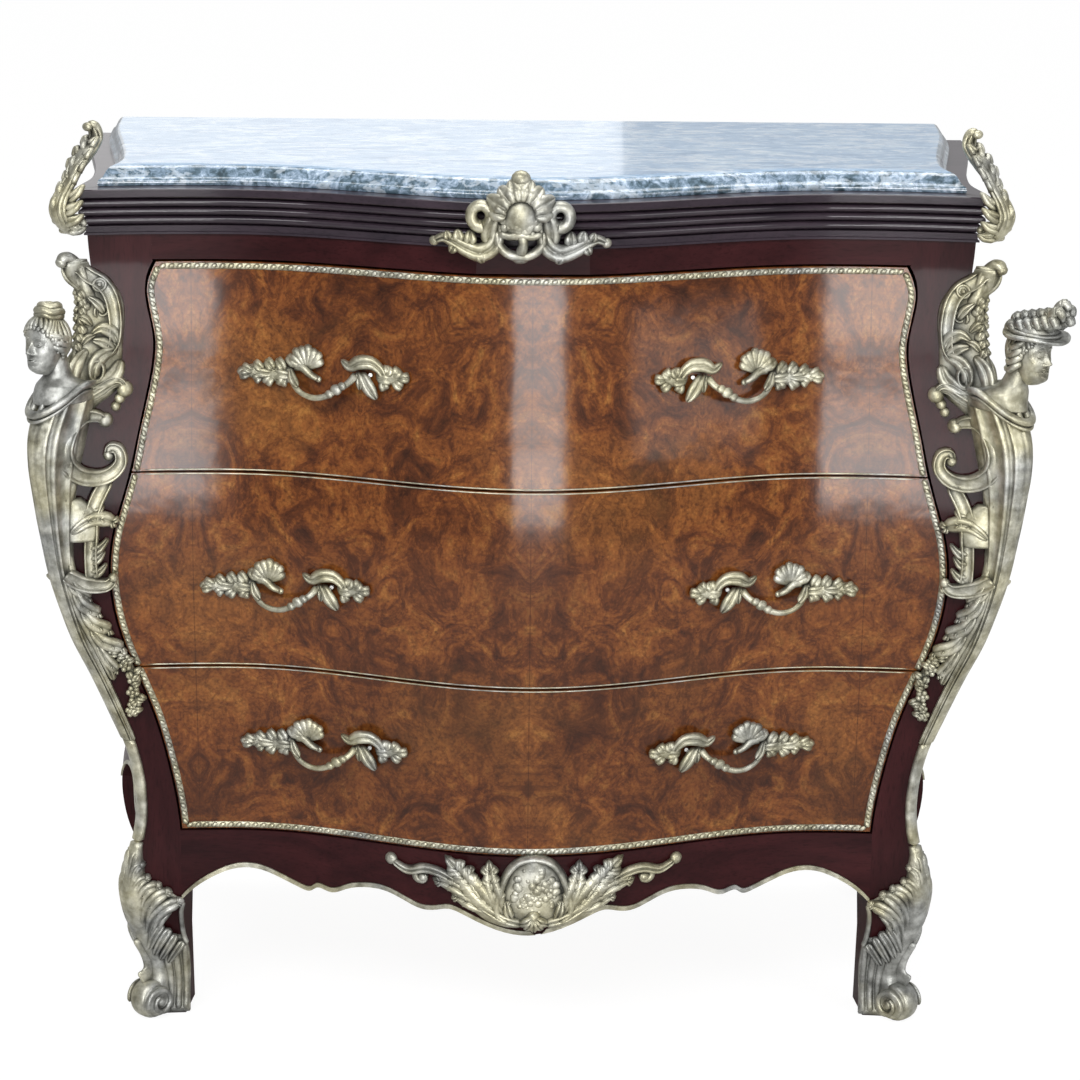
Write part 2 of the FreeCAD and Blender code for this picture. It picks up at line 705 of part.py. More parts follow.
def drawer_guides():
    """Strips that keep the drawer boxes straight, two for each drawer."""
    strips = []
    for name, z1, z0, half, x_handle, z_handle in drawers:
        low = z0 + box_lift - glide
        y_front = front_plane + post_depth + 4
        start = Vector(half + 1, y_front, low)
        strip = Part.makeBox(guide_width, guide_length, guide_height, start)
        strips += [strip, mirrored(strip)]
    return Part.makeCompound(strips)


def case_parts():
    """Every part that stays still."""
    nodes = {}
    leg = front_leg()
    rear = rear_leg()
    panel = side_panel()
    apron = front_apron()
    lower_side = side_apron()
    rail = top_rail()
    nodes.update(pair("front_leg", leg))
    nodes.update(pair("rear_leg", rear))
    nodes.update(pair("side_panel", panel))
    nodes.update(pair("side_apron", lower_side))
    nodes["front_apron"] = apron
    nodes["top_rail"] = rail
    posts = rear.fuse(mirrored(rear))
    nodes["back_panel"] = back_panel(posts)
    walls = Part.makeCompound(list(nodes.values()))
    lift = box_lift - glide
    nodes["bottom_board"] = inner_board(opening_bottom + drawer_gap + lift, bottom_board, walls)
    nodes["lower_dust_board"] = inner_board(drawer_lines[1] + line_gap / 2 + lift, dust_board, walls)
    nodes["upper_dust_board"] = inner_board(drawer_lines[0] + line_gap / 2 + lift, dust_board, walls)
    nodes["drawer_guides"] = drawer_guides()
    nodes["top_board"] = top_board()
    nodes["back_rail"] = back_rail()
    nodes["marble_top"] = marble_top()
    front, side = cornice()
    nodes["cornice_front"] = front
    nodes.update(pair("cornice", side))
    return nodes


def bronze_parts(case):
    nodes = {}
    leg = case["front_leg_right"].fuse(case["side_panel_right"]).fuse(case["side_apron_right"])
    mount = corner_mount(leg)
    nodes.update(pair("corner_mount", mount))
    plates = garland(leg, mount)
    nodes.update(pair("garland", Part.makeCompound(plates)))
    foot = sabot(leg)
    nodes.update(pair("sabot", foot))
    nodes.update(pair("corner_strip", corner_strip(leg).cut(mount).cut(foot)))
    nodes["bust_right"] = bust(True, mount)
    nodes["bust_left"] = mirrored(bust(False, mount))
    clasp = corner_clasp(case["cornice_front"]).cut(case["cornice_right"]).cut(case["marble_top"])
    nodes.update(pair("corner_clasp", main_solid(clasp.cut(case["front_leg_right"]))))
    nodes["crest"] = crest(case["cornice_front"], case["marble_top"])
    nodes["apron_mount"] = apron_mount()
    side_strip = side_apron_strip()
    strips = [apron_strip().cut(nodes["apron_mount"]), side_strip, mirrored(side_strip)]
    nodes["apron_edge_strips"] = Part.makeCompound(strips)
    return nodes


def drawer_parts():
    nodes = {}
    for name, z1, z0, half, x_handle, z_handle in drawers:
        front = drawer_front(z0, z1, x_handle, z_handle)
        side, back, floor = drawer_box(front, z0, z1, half, z0 + box_lift)
        grip = handle(x_handle, z_handle, front)
        nodes[name + "_drawer_front"] = front
        nodes.update(pair(name + "_drawer_side", side))
        nodes[name + "_drawer_back"] = back
        nodes[name + "_drawer_bottom"] = floor
        nodes[name + "_rope_trim"] = rope_trim(z0, z1, name == "upper", name == "lower")
        nodes[name + "_handles"] = Part.makeCompound([grip, mirrored(grip)])
        nodes[name + "_handle_bolts"] = handle_bolts(x_handle, z_handle, front)
    return nodes


def main():
    os.makedirs("parts", exist_ok=True)
    nodes = case_parts()
    nodes.update(bronze_parts(nodes))
    nodes.update(drawer_parts())
    for name, shape in nodes.items():
        shape.exportStep("parts/" + name + ".step")
    print(len(nodes), "nodes")


main()
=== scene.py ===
import math
import random
import bpy
import bmesh
from mathutils import Matrix, Vector


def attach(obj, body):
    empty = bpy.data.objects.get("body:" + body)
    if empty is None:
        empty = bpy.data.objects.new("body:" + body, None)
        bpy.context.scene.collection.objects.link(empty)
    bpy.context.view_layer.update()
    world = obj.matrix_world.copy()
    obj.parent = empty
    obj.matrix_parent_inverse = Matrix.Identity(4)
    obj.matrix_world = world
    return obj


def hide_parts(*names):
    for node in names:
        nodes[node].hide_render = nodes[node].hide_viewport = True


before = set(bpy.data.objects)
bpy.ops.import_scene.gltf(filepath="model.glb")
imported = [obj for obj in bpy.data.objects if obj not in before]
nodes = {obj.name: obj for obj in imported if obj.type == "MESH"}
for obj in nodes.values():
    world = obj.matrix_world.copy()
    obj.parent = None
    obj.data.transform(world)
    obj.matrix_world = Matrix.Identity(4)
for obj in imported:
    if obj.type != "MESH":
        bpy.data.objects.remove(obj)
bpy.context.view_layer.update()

mm = 0.001
caseTop = 849            # mm, where the cornice stands on the case
weldDistance = 0.00002   # m
creaseAngle = math.radians(38)
outward = Vector((math.sqrt(0.5), -math.sqrt(0.5), 0))   # out of the right front corner, in plan
across = Vector((math.sqrt(0.5), math.sqrt(0.5), 0))     # along that corner, towards the side

# the swelling case, in mm: these curves carry every mount
caseShape = {
    "frontPlane": -141, "backPlane": 247, "belly": 75, "bellyHalf": 310, "ear": 14, "earWidth": 140,
    "footFlare": 0.94,
    "corner": [(0, 394), (30, 396), (60, 402), (100, 417), (145, 423), (185, 417), (230, 408), (270, 408),
               (310, 415), (350, 428), (400, 445), (450, 461), (500, 470), (545, 470), (600, 463),
               (650, 453), (700, 442), (745, 438), (800, 442), (849, 446), (915, 446)],
    "drawer": [(210, 363), (250, 367), (300, 376), (350, 388), (390, 402), (430, 416), (470, 425),
               (508, 428), (545, 424), (580, 414), (615, 404), (650, 397), (685, 389), (715, 383),
               (742, 381), (765, 385), (792, 389), (807, 386), (820, 380), (830, 379)],
    "front": [(0, 3), (40, 6), (95, -4), (150, -14), (220, -13), (300, -16), (400, -25), (500, -31),
              (610, -23), (690, -9), (760, 3), (816, 9), (849, 9), (915, 9)],
    "flare": [(-60, 0), (0, 0), (65, -8), (130, -3), (200, 8), (300, 24), (388, 30), (450, 32)],
}


def smooth(knots, t):
    last = len(knots) - 1
    i = 0
    while i < last - 1 and t > knots[i + 1][0]:
        i += 1
    a, b = max(i - 1, 0), min(i + 2, last)
    (t0, v0), (t1, v1) = knots[i], knots[i + 1]
    span = t1 - t0
    u = min(max((t - t0) / span, 0.0), 1.0)
    rise = v1 - v0
    slope0 = (v1 - knots[a][1]) / (t1 - knots[a][0])
    slope1 = (knots[b][1] - v0) / (knots[b][0] - t0)
    bend0 = slope0 * span - rise
    bend1 = rise - slope1 * span
    return v0 + rise * u + u * (1 - u) * (bend0 * (1 - u) + bend1 * u)


def frontY(x, z):
    c = caseShape
    reach = min(abs(x) / c["bellyHalf"], 1.0)
    belly = c["belly"] * 0.5 * (1 + math.cos(math.pi * reach))
    ear = c["ear"] * max(0.0, (abs(x) - c["bellyHalf"]) / c["earWidth"]) ** 2
    return c["frontPlane"] + smooth(c["front"], z) - belly - ear


def flareAt(y):
    return smooth(caseShape["flare"], y - caseShape["frontPlane"])


def sideX(y, z):
    growth = 1 + caseShape["footFlare"] * (1 - min(z, caseTop) / caseTop)
    return smooth(caseShape["corner"], z) + growth * flareAt(y)


def cornerAt(z):
    x = smooth(caseShape["corner"], z)
    return Vector((x, frontY(x, z), z))


# three ways to lay a flat design on the case: u along, h out of the surface, v up (mm in, metres out)
def onFront(u, h, v):
    return Vector((u, frontY(u, v) - h, v)) * mm


def onSide(u, h, v):
    edge = cornerAt(v)
    y = edge.y + edge.x - u
    return Vector((sideX(y, v) + h, y, v)) * mm


def onCorner(u, h, v):
    return (cornerAt(v) + outward * u + across * h) * mm     # u out along the diagonal, h across it


def mirrorOf(place):
    def flipped(u, h, v):
        p = place(u, h, v)
        return Vector((-p.x, p.y, p.z))
    return flipped


# shaping tools for the castings
def along(points, t):
    last = len(points) - 1
    if last < 1:
        return points[0]
    f = min(max(t, 0.0), 1.0) * last
    i = min(int(f), last - 1)
    f -= i
    p0, p1 = points[max(i - 1, 0)], points[i]
    p2, p3 = points[i + 1], points[min(i + 2, last)]
    return tuple(0.5 * (2 * b + (c - a) * f + (2 * a - 5 * b + 4 * c - d) * f * f
                        + (3 * b - a - 3 * c + d) * f ** 3) for a, b, c, d in zip(p0, p1, p2, p3))


def level(values, t):
    f = min(max(t, 0.0), 1.0) * (len(values) - 1)
    i = min(int(f), len(values) - 2)
    return values[i] + (values[i + 1] - values[i]) * (f - i)


sections = {    # (across, height) round a strap, from its left foot over the top to its right foot
    "band": [(-1, -0.4), (-1.02, 0.5), (-0.92, 0.95), (-0.76, 1), (-0.62, 0.8), (-0.52, 0.45), (0, 0.62),
             (0.52, 0.45), (0.62, 0.8), (0.76, 1), (0.92, 0.95), (1.02, 0.5), (1, -0.4)],
    "round": [(-1, -0.4), (-1, 0.15), (-0.85, 0.6), (-0.5, 0.9), (0, 1), (0.5, 0.9), (0.85, 0.6), (1, 0.15),
              (1, -0.4)],
    "leaf": [(-1, -0.3), (-1, 0.3), (-0.72, 0.72), (-0.4, 0.85), (-0.14, 0.6), (0, 0.38), (0.14, 0.6),
             (0.4, 0.85), (0.72, 0.72), (1, 0.3), (1, -0.3)],
    "flutes": [(-1, -0.4), (-1, 0.6), (-0.86, 1), (-0.68, 0.55), (-0.52, 0.95), (-0.3, 0.5), (-0.12, 0.92),
               (0, 1), (0.12, 0.92), (0.3, 0.5), (0.52, 0.95), (0.68, 0.55), (0.86, 1), (1, 0.6),
               (1, -0.4)],
    "rod": [(math.sin(a), -math.cos(a)) for a in [2 * math.pi * i / 12 for i in range(12)]],
}


def gridShape(bm, columns, rows, place):
    made = bmesh.ops.create_grid(bm, x_segments=columns, y_segments=rows, size=1)["verts"]
    for v in made:
        v.co = place((v.co.x + 1) / 2, (v.co.y + 1) / 2)
    bmesh.ops.remove_doubles(bm, verts=made, dist=weldDistance)


def tube(bm, rings):        # skin over rings of points
    count, sides = len(rings) - 1, len(rings[0])
    gridShape(bm, count, sides, lambda s, t: rings[round(s * count)][round(t * sides) % sides])


def asList(value):          # a width or height: one number, or several along a moulding
    return value if isinstance(value, (list, tuple)) else [value, value]


# how full a moulding is at s: it rounds off over the share of its length called tip, at both ends
def roundedEnd(s, tip):
    if not tip:
        return 1.0
    return math.sqrt(max(0.0, 1 - (1 - min(1.0, min(s, 1 - s) / tip)) ** 2))


def roundAngles(half):      # right round a circle, with this many steps to half a turn
    return [math.pi * i / half for i in range(2 * half + 1)]


# moulding swept along points (across, up) or (across, up, lift) on a surface
def strap(bm, place, points, width, height, kind="round", count=20, tip=0.12):
    shape = sections[kind]
    widths, heights = asList(width), asList(height)
    path = [p if len(p) == 3 else (p[0], p[1], 0) for p in points]
    rings = []
    for i in range(count + 1):
        s = i / count
        u, v, lift = along(path, s)
        ahead, behind = along(path, s + 0.01), along(path, s - 0.01)
        du, dv = ahead[0] - behind[0], ahead[1] - behind[1]
        size = math.hypot(du, dv) or 1.0
        full = roundedEnd(s, tip)
        w = level(widths, s) / 2 * full
        h = level(heights, s) * full
        rings.append([place(u - dv / size * a * w, lift + e * h, v + du / size * a * w) for a, e in shape])
    tube(bm, rings)


def leaf(bm, place, points, width, height=4.0, count=8, blunt=False):
    shape = (0.4, 0.75, 0.95, 1.05, 1.05, 0.85) if blunt else (0.35, 0.8, 1, 0.92, 0.6, 0.15)
    strap(bm, place, points, [width * k for k in shape], height, "leaf", count, 0.2 if blunt else 0.1)


def bead(bm, place, u, v, size, lift=0.0, high=None, wide=None, turns=12):
    ru = size if wide is None else wide
    rh = size if high is None else high
    made = bmesh.ops.create_uvsphere(bm, u_segments=turns, v_segments=max(5, turns * 2 // 3),
                                     radius=1)["verts"]
    for vert in made:
        x, y, z = vert.co
        vert.co = place(u + x * ru, lift + z * rh, v + y * size)


# domed plate between two edges, each a list of (height, place across)
def field(bm, place, left, right, rise, count):
    dome = [(i / 10, rise * math.sin(math.pi * (0.08 + 0.84 * i / 10)) ** 0.6) for i in range(11)]
    ribs = [(-0.02, -3)] + dome + [(1.02, -3)]
    low, high = left[0][0], left[-1][0]
    def at(s, t):
        v = low + (high - low) * s
        a, h = ribs[round(t * len(ribs)) % len(ribs)]
        return place(smooth(left, v) * (1 - a) + smooth(right, v) * a, h, v)
    gridShape(bm, count, len(ribs), at)


# leaf with small lobes along its edges
def acanthus(bm, place, points, width, height, teeth, tooth=0.62, sides=(-1, 1), blunt=True):
    leaf(bm, place, points, width, height, 12, blunt)
    for i in range(teeth):
        s = (0.42 if blunt else 0.25) + 0.5 * i / max(teeth - 1, 1)
        u, v, lift = along(points, s)
        ahead = along(points, min(s + 0.06, 1.0))
        behind = along(points, s - 0.06)
        heading = math.atan2(ahead[1] - behind[1], ahead[0] - behind[0])
        for side in sides:
            a = heading + side * 0.85
            reach = width * tooth * (1.0 - 0.25 * s)
            mid = (u + reach * 0.6 * math.cos(a), v + reach * 0.6 * math.sin(a), lift + height * 0.15)
            tip = (u + reach * math.cos(a), v + reach * math.sin(a), lift - height * 0.35)
            leaf(bm, place, [(u, v, lift), mid, tip], width * 0.42, height * 0.8, 6, True)


def turned(bm, place, profile, count):      # profile of (radius, height) round its own axis
    rows = len(profile) - 1
    def at(s, t):
        a = 2 * math.pi * (round(s * count) % count) / count
        r, h = profile[round(t * rows)]
        return place(r * math.cos(a), h, r * math.sin(a))
    gridShape(bm, count, rows, at)


# points of a scroll that winds in
def hook(centre, radius, start, sweep, close, count=9):
    points = []
    for i in range(count):
        a = math.radians(start + sweep * i / (count - 1))
        r = radius * (1 - close * i / (count - 1))
        points.append((centre[0] + r * math.cos(a), centre[1] + r * math.sin(a)))
    return points


# the open ends of mouldings are closed here, for every piece
def finishPiece(bm, name, body, material, replaces):
    bmesh.ops.holes_fill(bm, edges=[e for e in bm.edges if e.is_boundary], sides=0)
    bmesh.ops.recalc_face_normals(bm, faces=bm.faces)
    mesh = bpy.data.meshes.new(name)
    bm.to_mesh(mesh)
    bm.free()
    mesh.shade_smooth()
    piece = bpy.data.objects.new(name, mesh)
    bpy.context.scene.collection.objects.link(piece)
    mesh.materials.append(material)
    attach(piece, body)
    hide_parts(*replaces)
    return piece


# a casting on the right of the case and its mirrored copy on the left
def finishPair(bm, name, material, node):
    right = finishPiece(bm, name + "Right", "case", material, [node + "_right"])
    bm = bmesh.new()
    bm.from_mesh(right.data)
    bmesh.ops.scale(bm, vec=(-1, 1, 1), verts=bm.verts)
    finishPiece(bm, name + "Left", "case", material, [node + "_left"])


# materials
def newMaterial(name, **values):
    material = bpy.data.materials.new(name)
    material.use_nodes = True
    shader = material.node_tree.nodes["Principled BSDF"]
    for key, value in values.items():
        shader.inputs[key].default_value = value
    return material, material.node_tree, shader


def addNode(tree, kind, links=(), **settings):
    node = tree.nodes.new("ShaderNode" + kind)
    for key, value in settings.items():
        if key in node.inputs:
            node.inputs[key].default_value = value
        else:
            setattr(node, key, value)
    for socket, source in links:
        tree.links.new(source, node.inputs[socket])
    return node


def rampNode(tree, source, stops):
    node = addNode(tree, "ValToRGB", [(0, source)])
    ramp = node.color_ramp
    while len(ramp.elements) < len(stops):
        ramp.elements.new(0.5)
    for element, (place, colour) in zip(ramp.elements, stops):
        element.position = place
        element.color = (*colour, 1)
    return node.outputs["Color"]


def mixColour(tree, factor, a, b, blend="MIX"):
    node = tree.nodes.new("ShaderNodeMix")
    node.data_type = "RGBA"
    node.blend_type = blend
    for socket, value in (("Factor", factor), ("A", a), ("B", b)):
        inputs = [i for i in node.inputs if i.name == socket and i.enabled]
        if isinstance(value, bpy.types.NodeSocket):
            tree.links.new(value, inputs[0])
        elif isinstance(value, tuple):
            inputs[0].default_value = (*value, 1)
        else:
            inputs[0].default_value = value
    return [o for o in node.outputs if o.enabled][0]


def mathNode(tree, operation, a, b=0.5, c=0.5, clamp=False):
    node = tree.nodes.new("ShaderNodeMath")
    node.operation = operation
    node.use_clamp = clamp
    for i, value in enumerate((a, b, c)):
        if isinstance(value, bpy.types.NodeSocket):
            tree.links.new(value, node.inputs[i])
        else:
            node.inputs[i].default_value = value
    return node.outputs[0]


def bumpNode(tree, shader, height, strength, distance, socket="Normal"):
    node = addNode(tree, "Bump", [("Height", height)], Strength=strength, Distance=distance)
    tree.links.new(node.outputs[0], shader.inputs[socket])


burl = {"leafWidth": 0.1725, "dark": (0.041, 0.012, 0.004), "brown": (0.122, 0.034, 0.009),
        "orange": (0.250, 0.078, 0.017), "amber": (0.425, 0.182, 0.041)}


def burlMaterial():
    material, tree, shader = newMaterial("burlWalnut",
                                         **{"Roughness": 0.42, "Coat Weight": 0.48, "Coat Roughness": 0.13,
                                            "Specular IOR Level": 0.06})
    place = addNode(tree, "TexCoord").outputs["Object"]
    parts = addNode(tree, "SeparateXYZ", [(0, place)]).outputs
    folded = mathNode(tree, "PINGPONG", parts["X"], burl["leafWidth"])      # book matched leaves
    point = addNode(tree, "CombineXYZ", [(0, folded), (1, parts["Y"]), (2, parts["Z"])]).outputs[0]
    swirl = addNode(tree, "TexNoise", [("Vector", point)], Scale=9.0, Detail=3.0).outputs["Color"]
    bent = addNode(tree, "VectorMath", [(0, swirl)], operation="SCALE", Scale=0.06).outputs[0]
    warped = addNode(tree, "VectorMath", [(0, point), (1, bent)], operation="ADD").outputs[0]
    cloud = addNode(tree, "TexNoise", [("Vector", warped)], Scale=24.0, Detail=10.0, Roughness=0.70,
                    Distortion=1.3)
    colour = rampNode(tree, cloud.outputs["Fac"],
                      [(0.32, burl["dark"]), (0.44, burl["brown"]), (0.55, burl["orange"]),
                       (0.72, burl["amber"])])
    gold = addNode(tree, "TexNoise", [("Vector", place)], Scale=5.5, Detail=3.0).outputs["Fac"]
    gold = mathNode(tree, "MULTIPLY_ADD", gold, 4.0, -2.15, True)
    colour = mixColour(tree, mathNode(tree, "MULTIPLY", gold, 0.45), colour, burl["amber"])
    shade = addNode(tree, "TexNoise", [("Vector", warped)], Scale=4.5, Detail=4.0,
                    Roughness=0.6).outputs["Fac"]
    shade = rampNode(tree, shade, [(0.36, (0.48, 0.42, 0.40)), (0.50, (1, 1, 1)), (0.70, (1.0, 1.0, 0.95))])
    colour = mixColour(tree, 0.85, colour, shade, "MULTIPLY")
    figure = addNode(tree, "TexWave", [("Vector", warped)], Scale=13.0, Distortion=16.0, Detail=6.0,
                     **{"Detail Scale": 3.2, "Detail Roughness": 0.66}).outputs["Fac"]
    veins = rampNode(tree, figure, [(0.0, (0.45, 0.40, 0.38)), (0.3, (0.92, 0.90, 0.90)), (1.0, (1, 1, 1))])
    colour = mixColour(tree, 0.6, colour, veins, "MULTIPLY")
    eyes = addNode(tree, "TexVoronoi", [("Vector", warped)], Scale=130.0).outputs["Distance"]
    patch = addNode(tree, "TexNoise", [("Vector", point)], Scale=9.0, Detail=2.0).outputs["Fac"]
    patch = mathNode(tree, "MULTIPLY_ADD", patch, 8.0, -3.9, True)
    spots = mathNode(tree, "MULTIPLY", mathNode(tree, "MULTIPLY_ADD", eyes, -5.0, 1.6, True), patch)
    colour = mixColour(tree, mathNode(tree, "MULTIPLY", spots, 0.55), colour, burl["dark"])
    fine = addNode(tree, "TexNoise", [("Vector", point)], Scale=330.0, Detail=3.0).outputs["Fac"]
    colour = mixColour(tree, mathNode(tree, "MULTIPLY_ADD", fine, 1.6, -0.62, True), colour, burl["dark"])
    joint = mathNode(tree, "LESS_THAN", folded, 0.0005)
    colour = mixColour(tree, mathNode(tree, "MULTIPLY", joint, 0.5), colour, burl["dark"])
    tree.links.new(colour, shader.inputs["Base Color"])
    ripple = addNode(tree, "TexNoise", [("Vector", point)], Scale=16.0, Detail=3.0).outputs["Fac"]
    bumpNode(tree, shader, ripple, 0.30, 0.0012)
    bumpNode(tree, shader, ripple, 0.45, 0.0012, "Coat Normal")
    return material


def grainMaterial(name, dark, light, stretch, roughness, coat):
    material, tree, shader = newMaterial(name, **{"Roughness": roughness, "Coat Weight": coat,
                                                  "Coat Roughness": 0.08, "Specular IOR Level": 0.07})
    place = addNode(tree, "TexCoord").outputs["Object"]
    grain = addNode(tree, "Mapping", [("Vector", place)], Scale=stretch).outputs[0]
    cloud = addNode(tree, "TexNoise", [("Vector", grain)], Scale=2.2, Detail=8.0, Roughness=0.65,
                    Distortion=0.4)
    colour = rampNode(tree, cloud.outputs["Fac"], [(0.32, dark), (0.66, light)])
    pores = addNode(tree, "TexNoise", [("Vector", grain)], Scale=38.0, Detail=2.0).outputs["Fac"]
    poreColour = tuple(c * 0.45 for c in dark)
    colour = mixColour(tree, mathNode(tree, "MULTIPLY_ADD", pores, 2.2, -1.15, True), colour, poreColour)
    tree.links.new(colour, shader.inputs["Base Color"])
    ripple = addNode(tree, "TexNoise", [("Vector", place)], Scale=14.0, Detail=2.0).outputs["Fac"]
    bumpNode(tree, shader, ripple, 0.25, 0.001)
    return material


def bronzeMaterial(name, worn):       # worn: how much of the gilding has gone grey
    material, tree, shader = newMaterial(name, **{"Metallic": 0.75, "Specular IOR Level": 0.4})
    place = addNode(tree, "TexCoord").outputs["Object"]
    hollow = addNode(tree, "AmbientOcclusion", samples=6, only_local=True, Distance=0.009).outputs["AO"]
    wear = addNode(tree, "TexNoise", [("Vector", place)], Scale=60.0, Detail=6.0,
                   Roughness=0.65).outputs["Fac"]
    broad = addNode(tree, "TexNoise", [("Vector", place)], Scale=16.0, Detail=3.0).outputs["Fac"]
    gilt = rampNode(tree, wear, [(0.32, (0.25, 0.230, 0.145)), (0.48, (0.43, 0.405, 0.28)),
                                 (0.64, (0.67, 0.64, 0.48))])
    grey = rampNode(tree, wear, [(0.32, (0.16, 0.16, 0.15)), (0.48, (0.32, 0.325, 0.305)),
                                 (0.64, (0.55, 0.555, 0.53))])
    patches = mathNode(tree, "MULTIPLY_ADD", broad, 3.5, worn - 1.75, True)
    colour = mixColour(tree, patches, gilt, grey)
    # darker and rougher in the hollows that ambient occlusion finds
    hollowAmount = mathNode(tree, "MULTIPLY_ADD", hollow, -2.0, 1.75, True)
    colour = mixColour(tree, mathNode(tree, "MULTIPLY", hollowAmount, 0.74), colour, (0.055, 0.055, 0.048))
    tree.links.new(colour, shader.inputs["Base Color"])
    rough = mathNode(tree, "MULTIPLY_ADD", wear, 0.30, 0.26)
    tree.links.new(mathNode(tree, "MULTIPLY_ADD", hollowAmount, 0.25, rough), shader.inputs["Roughness"])
    matting = addNode(tree, "TexVoronoi", [("Vector", place)], Scale=900.0).outputs["Distance"]
    lumps = addNode(tree, "TexNoise", [("Vector", place)], Scale=230.0, Detail=4.0).outputs["Fac"]
    bumpNode(tree, shader, mathNode(tree, "MULTIPLY_ADD", lumps, 1.5, matting), 0.22, 0.0005)
    return material


def marbleMaterial():
    material, tree, shader = newMaterial("blueGreyMarble",
                                         **{"Roughness": 0.14, "Coat Weight": 0.8, "Coat Roughness": 0.06,
                                            "Specular IOR Level": 0.5})
    place = addNode(tree, "TexCoord").outputs["Object"]
    streak = addNode(tree, "Mapping", [("Vector", place)], Scale=(0.6, 1.6, 1.0),
                     Rotation=(0, 0, 0.12)).outputs[0]
    cloud = addNode(tree, "TexNoise", [("Vector", streak)], Scale=30.0, Detail=10.0, Roughness=0.74,
                    Distortion=1.2).outputs["Fac"]
    grit = addNode(tree, "TexNoise", [("Vector", place)], Scale=95.0, Detail=8.0, Roughness=0.7,
                   Distortion=0.8).outputs["Fac"]
    mottle = mathNode(tree, "ADD", mathNode(tree, "MULTIPLY", cloud, 0.4),
                      mathNode(tree, "MULTIPLY", grit, 0.6))
    edge = rampNode(tree, mottle,
                    [(0.40, (0.030, 0.055, 0.070)), (0.47, (0.100, 0.160, 0.210)),
                     (0.53, (0.25, 0.34, 0.45)), (0.62, (0.62, 0.74, 0.88))])
    # the upward faces get a paler, bluer copy of the marble: painted reflection of the bright surroundings,
    # laid over the stone's own clouds and veins
    paintedReflectionTop = rampNode(tree, cloud, [(0.30, (0.17, 0.33, 0.56)), (0.48, (0.34, 0.54, 0.80)),
                                  (0.64, (0.68, 0.83, 0.96))])
    veins = addNode(tree, "TexWave", [("Vector", streak)], Scale=3.2, Distortion=22.0, Detail=7.0,
                    **{"Detail Scale": 2.6, "Detail Roughness": 0.65}).outputs["Fac"]
    line = mathNode(tree, "MULTIPLY_ADD", veins, 7.0, -5.8, True)
    edge = mixColour(tree, mathNode(tree, "MULTIPLY", line, 0.5), edge, (0.62, 0.70, 0.78))
    paintedReflectionTop = mixColour(tree, mathNode(tree, "MULTIPLY", line, 0.45), paintedReflectionTop, (0.90, 0.95, 1.0))
    # faces that point up take the paler copy and the sides keep the stone's darker colour: painted
    # reflection on the top
    facing = addNode(tree, "NewGeometry").outputs["Normal"]
    up = addNode(tree, "SeparateXYZ", [(0, facing)]).outputs["Z"]
    colour = mixColour(tree, mathNode(tree, "MULTIPLY_ADD", up, 12.0, -11.2, True), edge, paintedReflectionTop)
    tree.links.new(colour, shader.inputs["Base Color"])
    return material


burlWood = burlMaterial()
redTones = ((0.019, 0.0038, 0.0048), (0.048, 0.0100, 0.0115))
grainUp, grainAlong = (14.0, 14.0, 2.2), (2.2, 14.0, 14.0)
mahogany = grainMaterial("mahogany", *redTones, grainUp, 0.38, 0.09)
railWood = grainMaterial("mahoganyRail", *redTones, grainAlong, 0.38, 0.09)
# the cornice's copy of the mahogany is tinted cool blue-grey: painted reflection of the surroundings in its
# polish, not the wood's own colour
corniceWoodReflectionTint = grainMaterial("mahoganyCorniceReflectionTint", (0.020, 0.0140, 0.0210), (0.048, 0.0320, 0.0440), grainAlong,
                            0.30, 0.7)
plainWood = grainMaterial("carcaseWood", (0.20, 0.11, 0.055), (0.34, 0.21, 0.12), (1.5, 14.0, 14.0), 0.65,
                          0.0)
liningWood = grainMaterial("drawerLining", (0.36, 0.23, 0.12), (0.55, 0.39, 0.23), (14.0, 1.5, 14.0), 0.5,
                           0.15)
bronze = bronzeMaterial("giltBronze", 0.32)
wornBronze = bronzeMaterial("wornBronze", 0.72)
marble = marbleMaterial()
boltSteel, boltTree, boltShader = newMaterial("boltSteel", Metallic=1.0)
boltNoise = addNode(boltTree, "TexNoise", Scale=300.0).outputs["Fac"]
boltTree.links.new(mathNode(boltTree, "MULTIPLY_ADD", boltNoise, 0.3, 0.2), boltShader.inputs["Roughness"])
boltColour = rampNode(boltTree, boltNoise, [(0.3, (0.42, 0.42, 0.41)), (0.7, (0.6, 0.6, 0.58))])
boltTree.links.new(boltColour, boltShader.inputs["Base Color"])

nodeFinish = {"front_leg": mahogany, "rear_leg": mahogany, "side_panel": mahogany, "side_apron": railWood,
              "front_apron": railWood, "top_rail": railWood, "cornice": corniceWoodReflectionTint, "marble_top": marble,
              "back_panel": plainWood, "back_rail": plainWood, "top_board": plainWood,
              "bottom_board": plainWood, "dust_board": plainWood, "drawer_guides": plainWood,
              "drawer_front": burlWood, "drawer_side": liningWood, "drawer_back": liningWood,
              "drawer_bottom": liningWood, "handle_bolts": boltSteel}
for name, node in nodes.items():
    finish = next((m for key, m in nodeFinish.items() if key in name), bronze)
    node.data.materials.clear()
    node.data.materials.append(finish)
print("materials done")


# rope trim round the drawers
rope = {"points": 40, "inset": 4.2, "step": 8.6, "long": 7.4, "thick": 2.5, "lean": 0.62, "proud": 1.6}
drawerHeights = {"upper": (611, 820.5), "middle": (404, 609), "lower": (218.5, 402)}


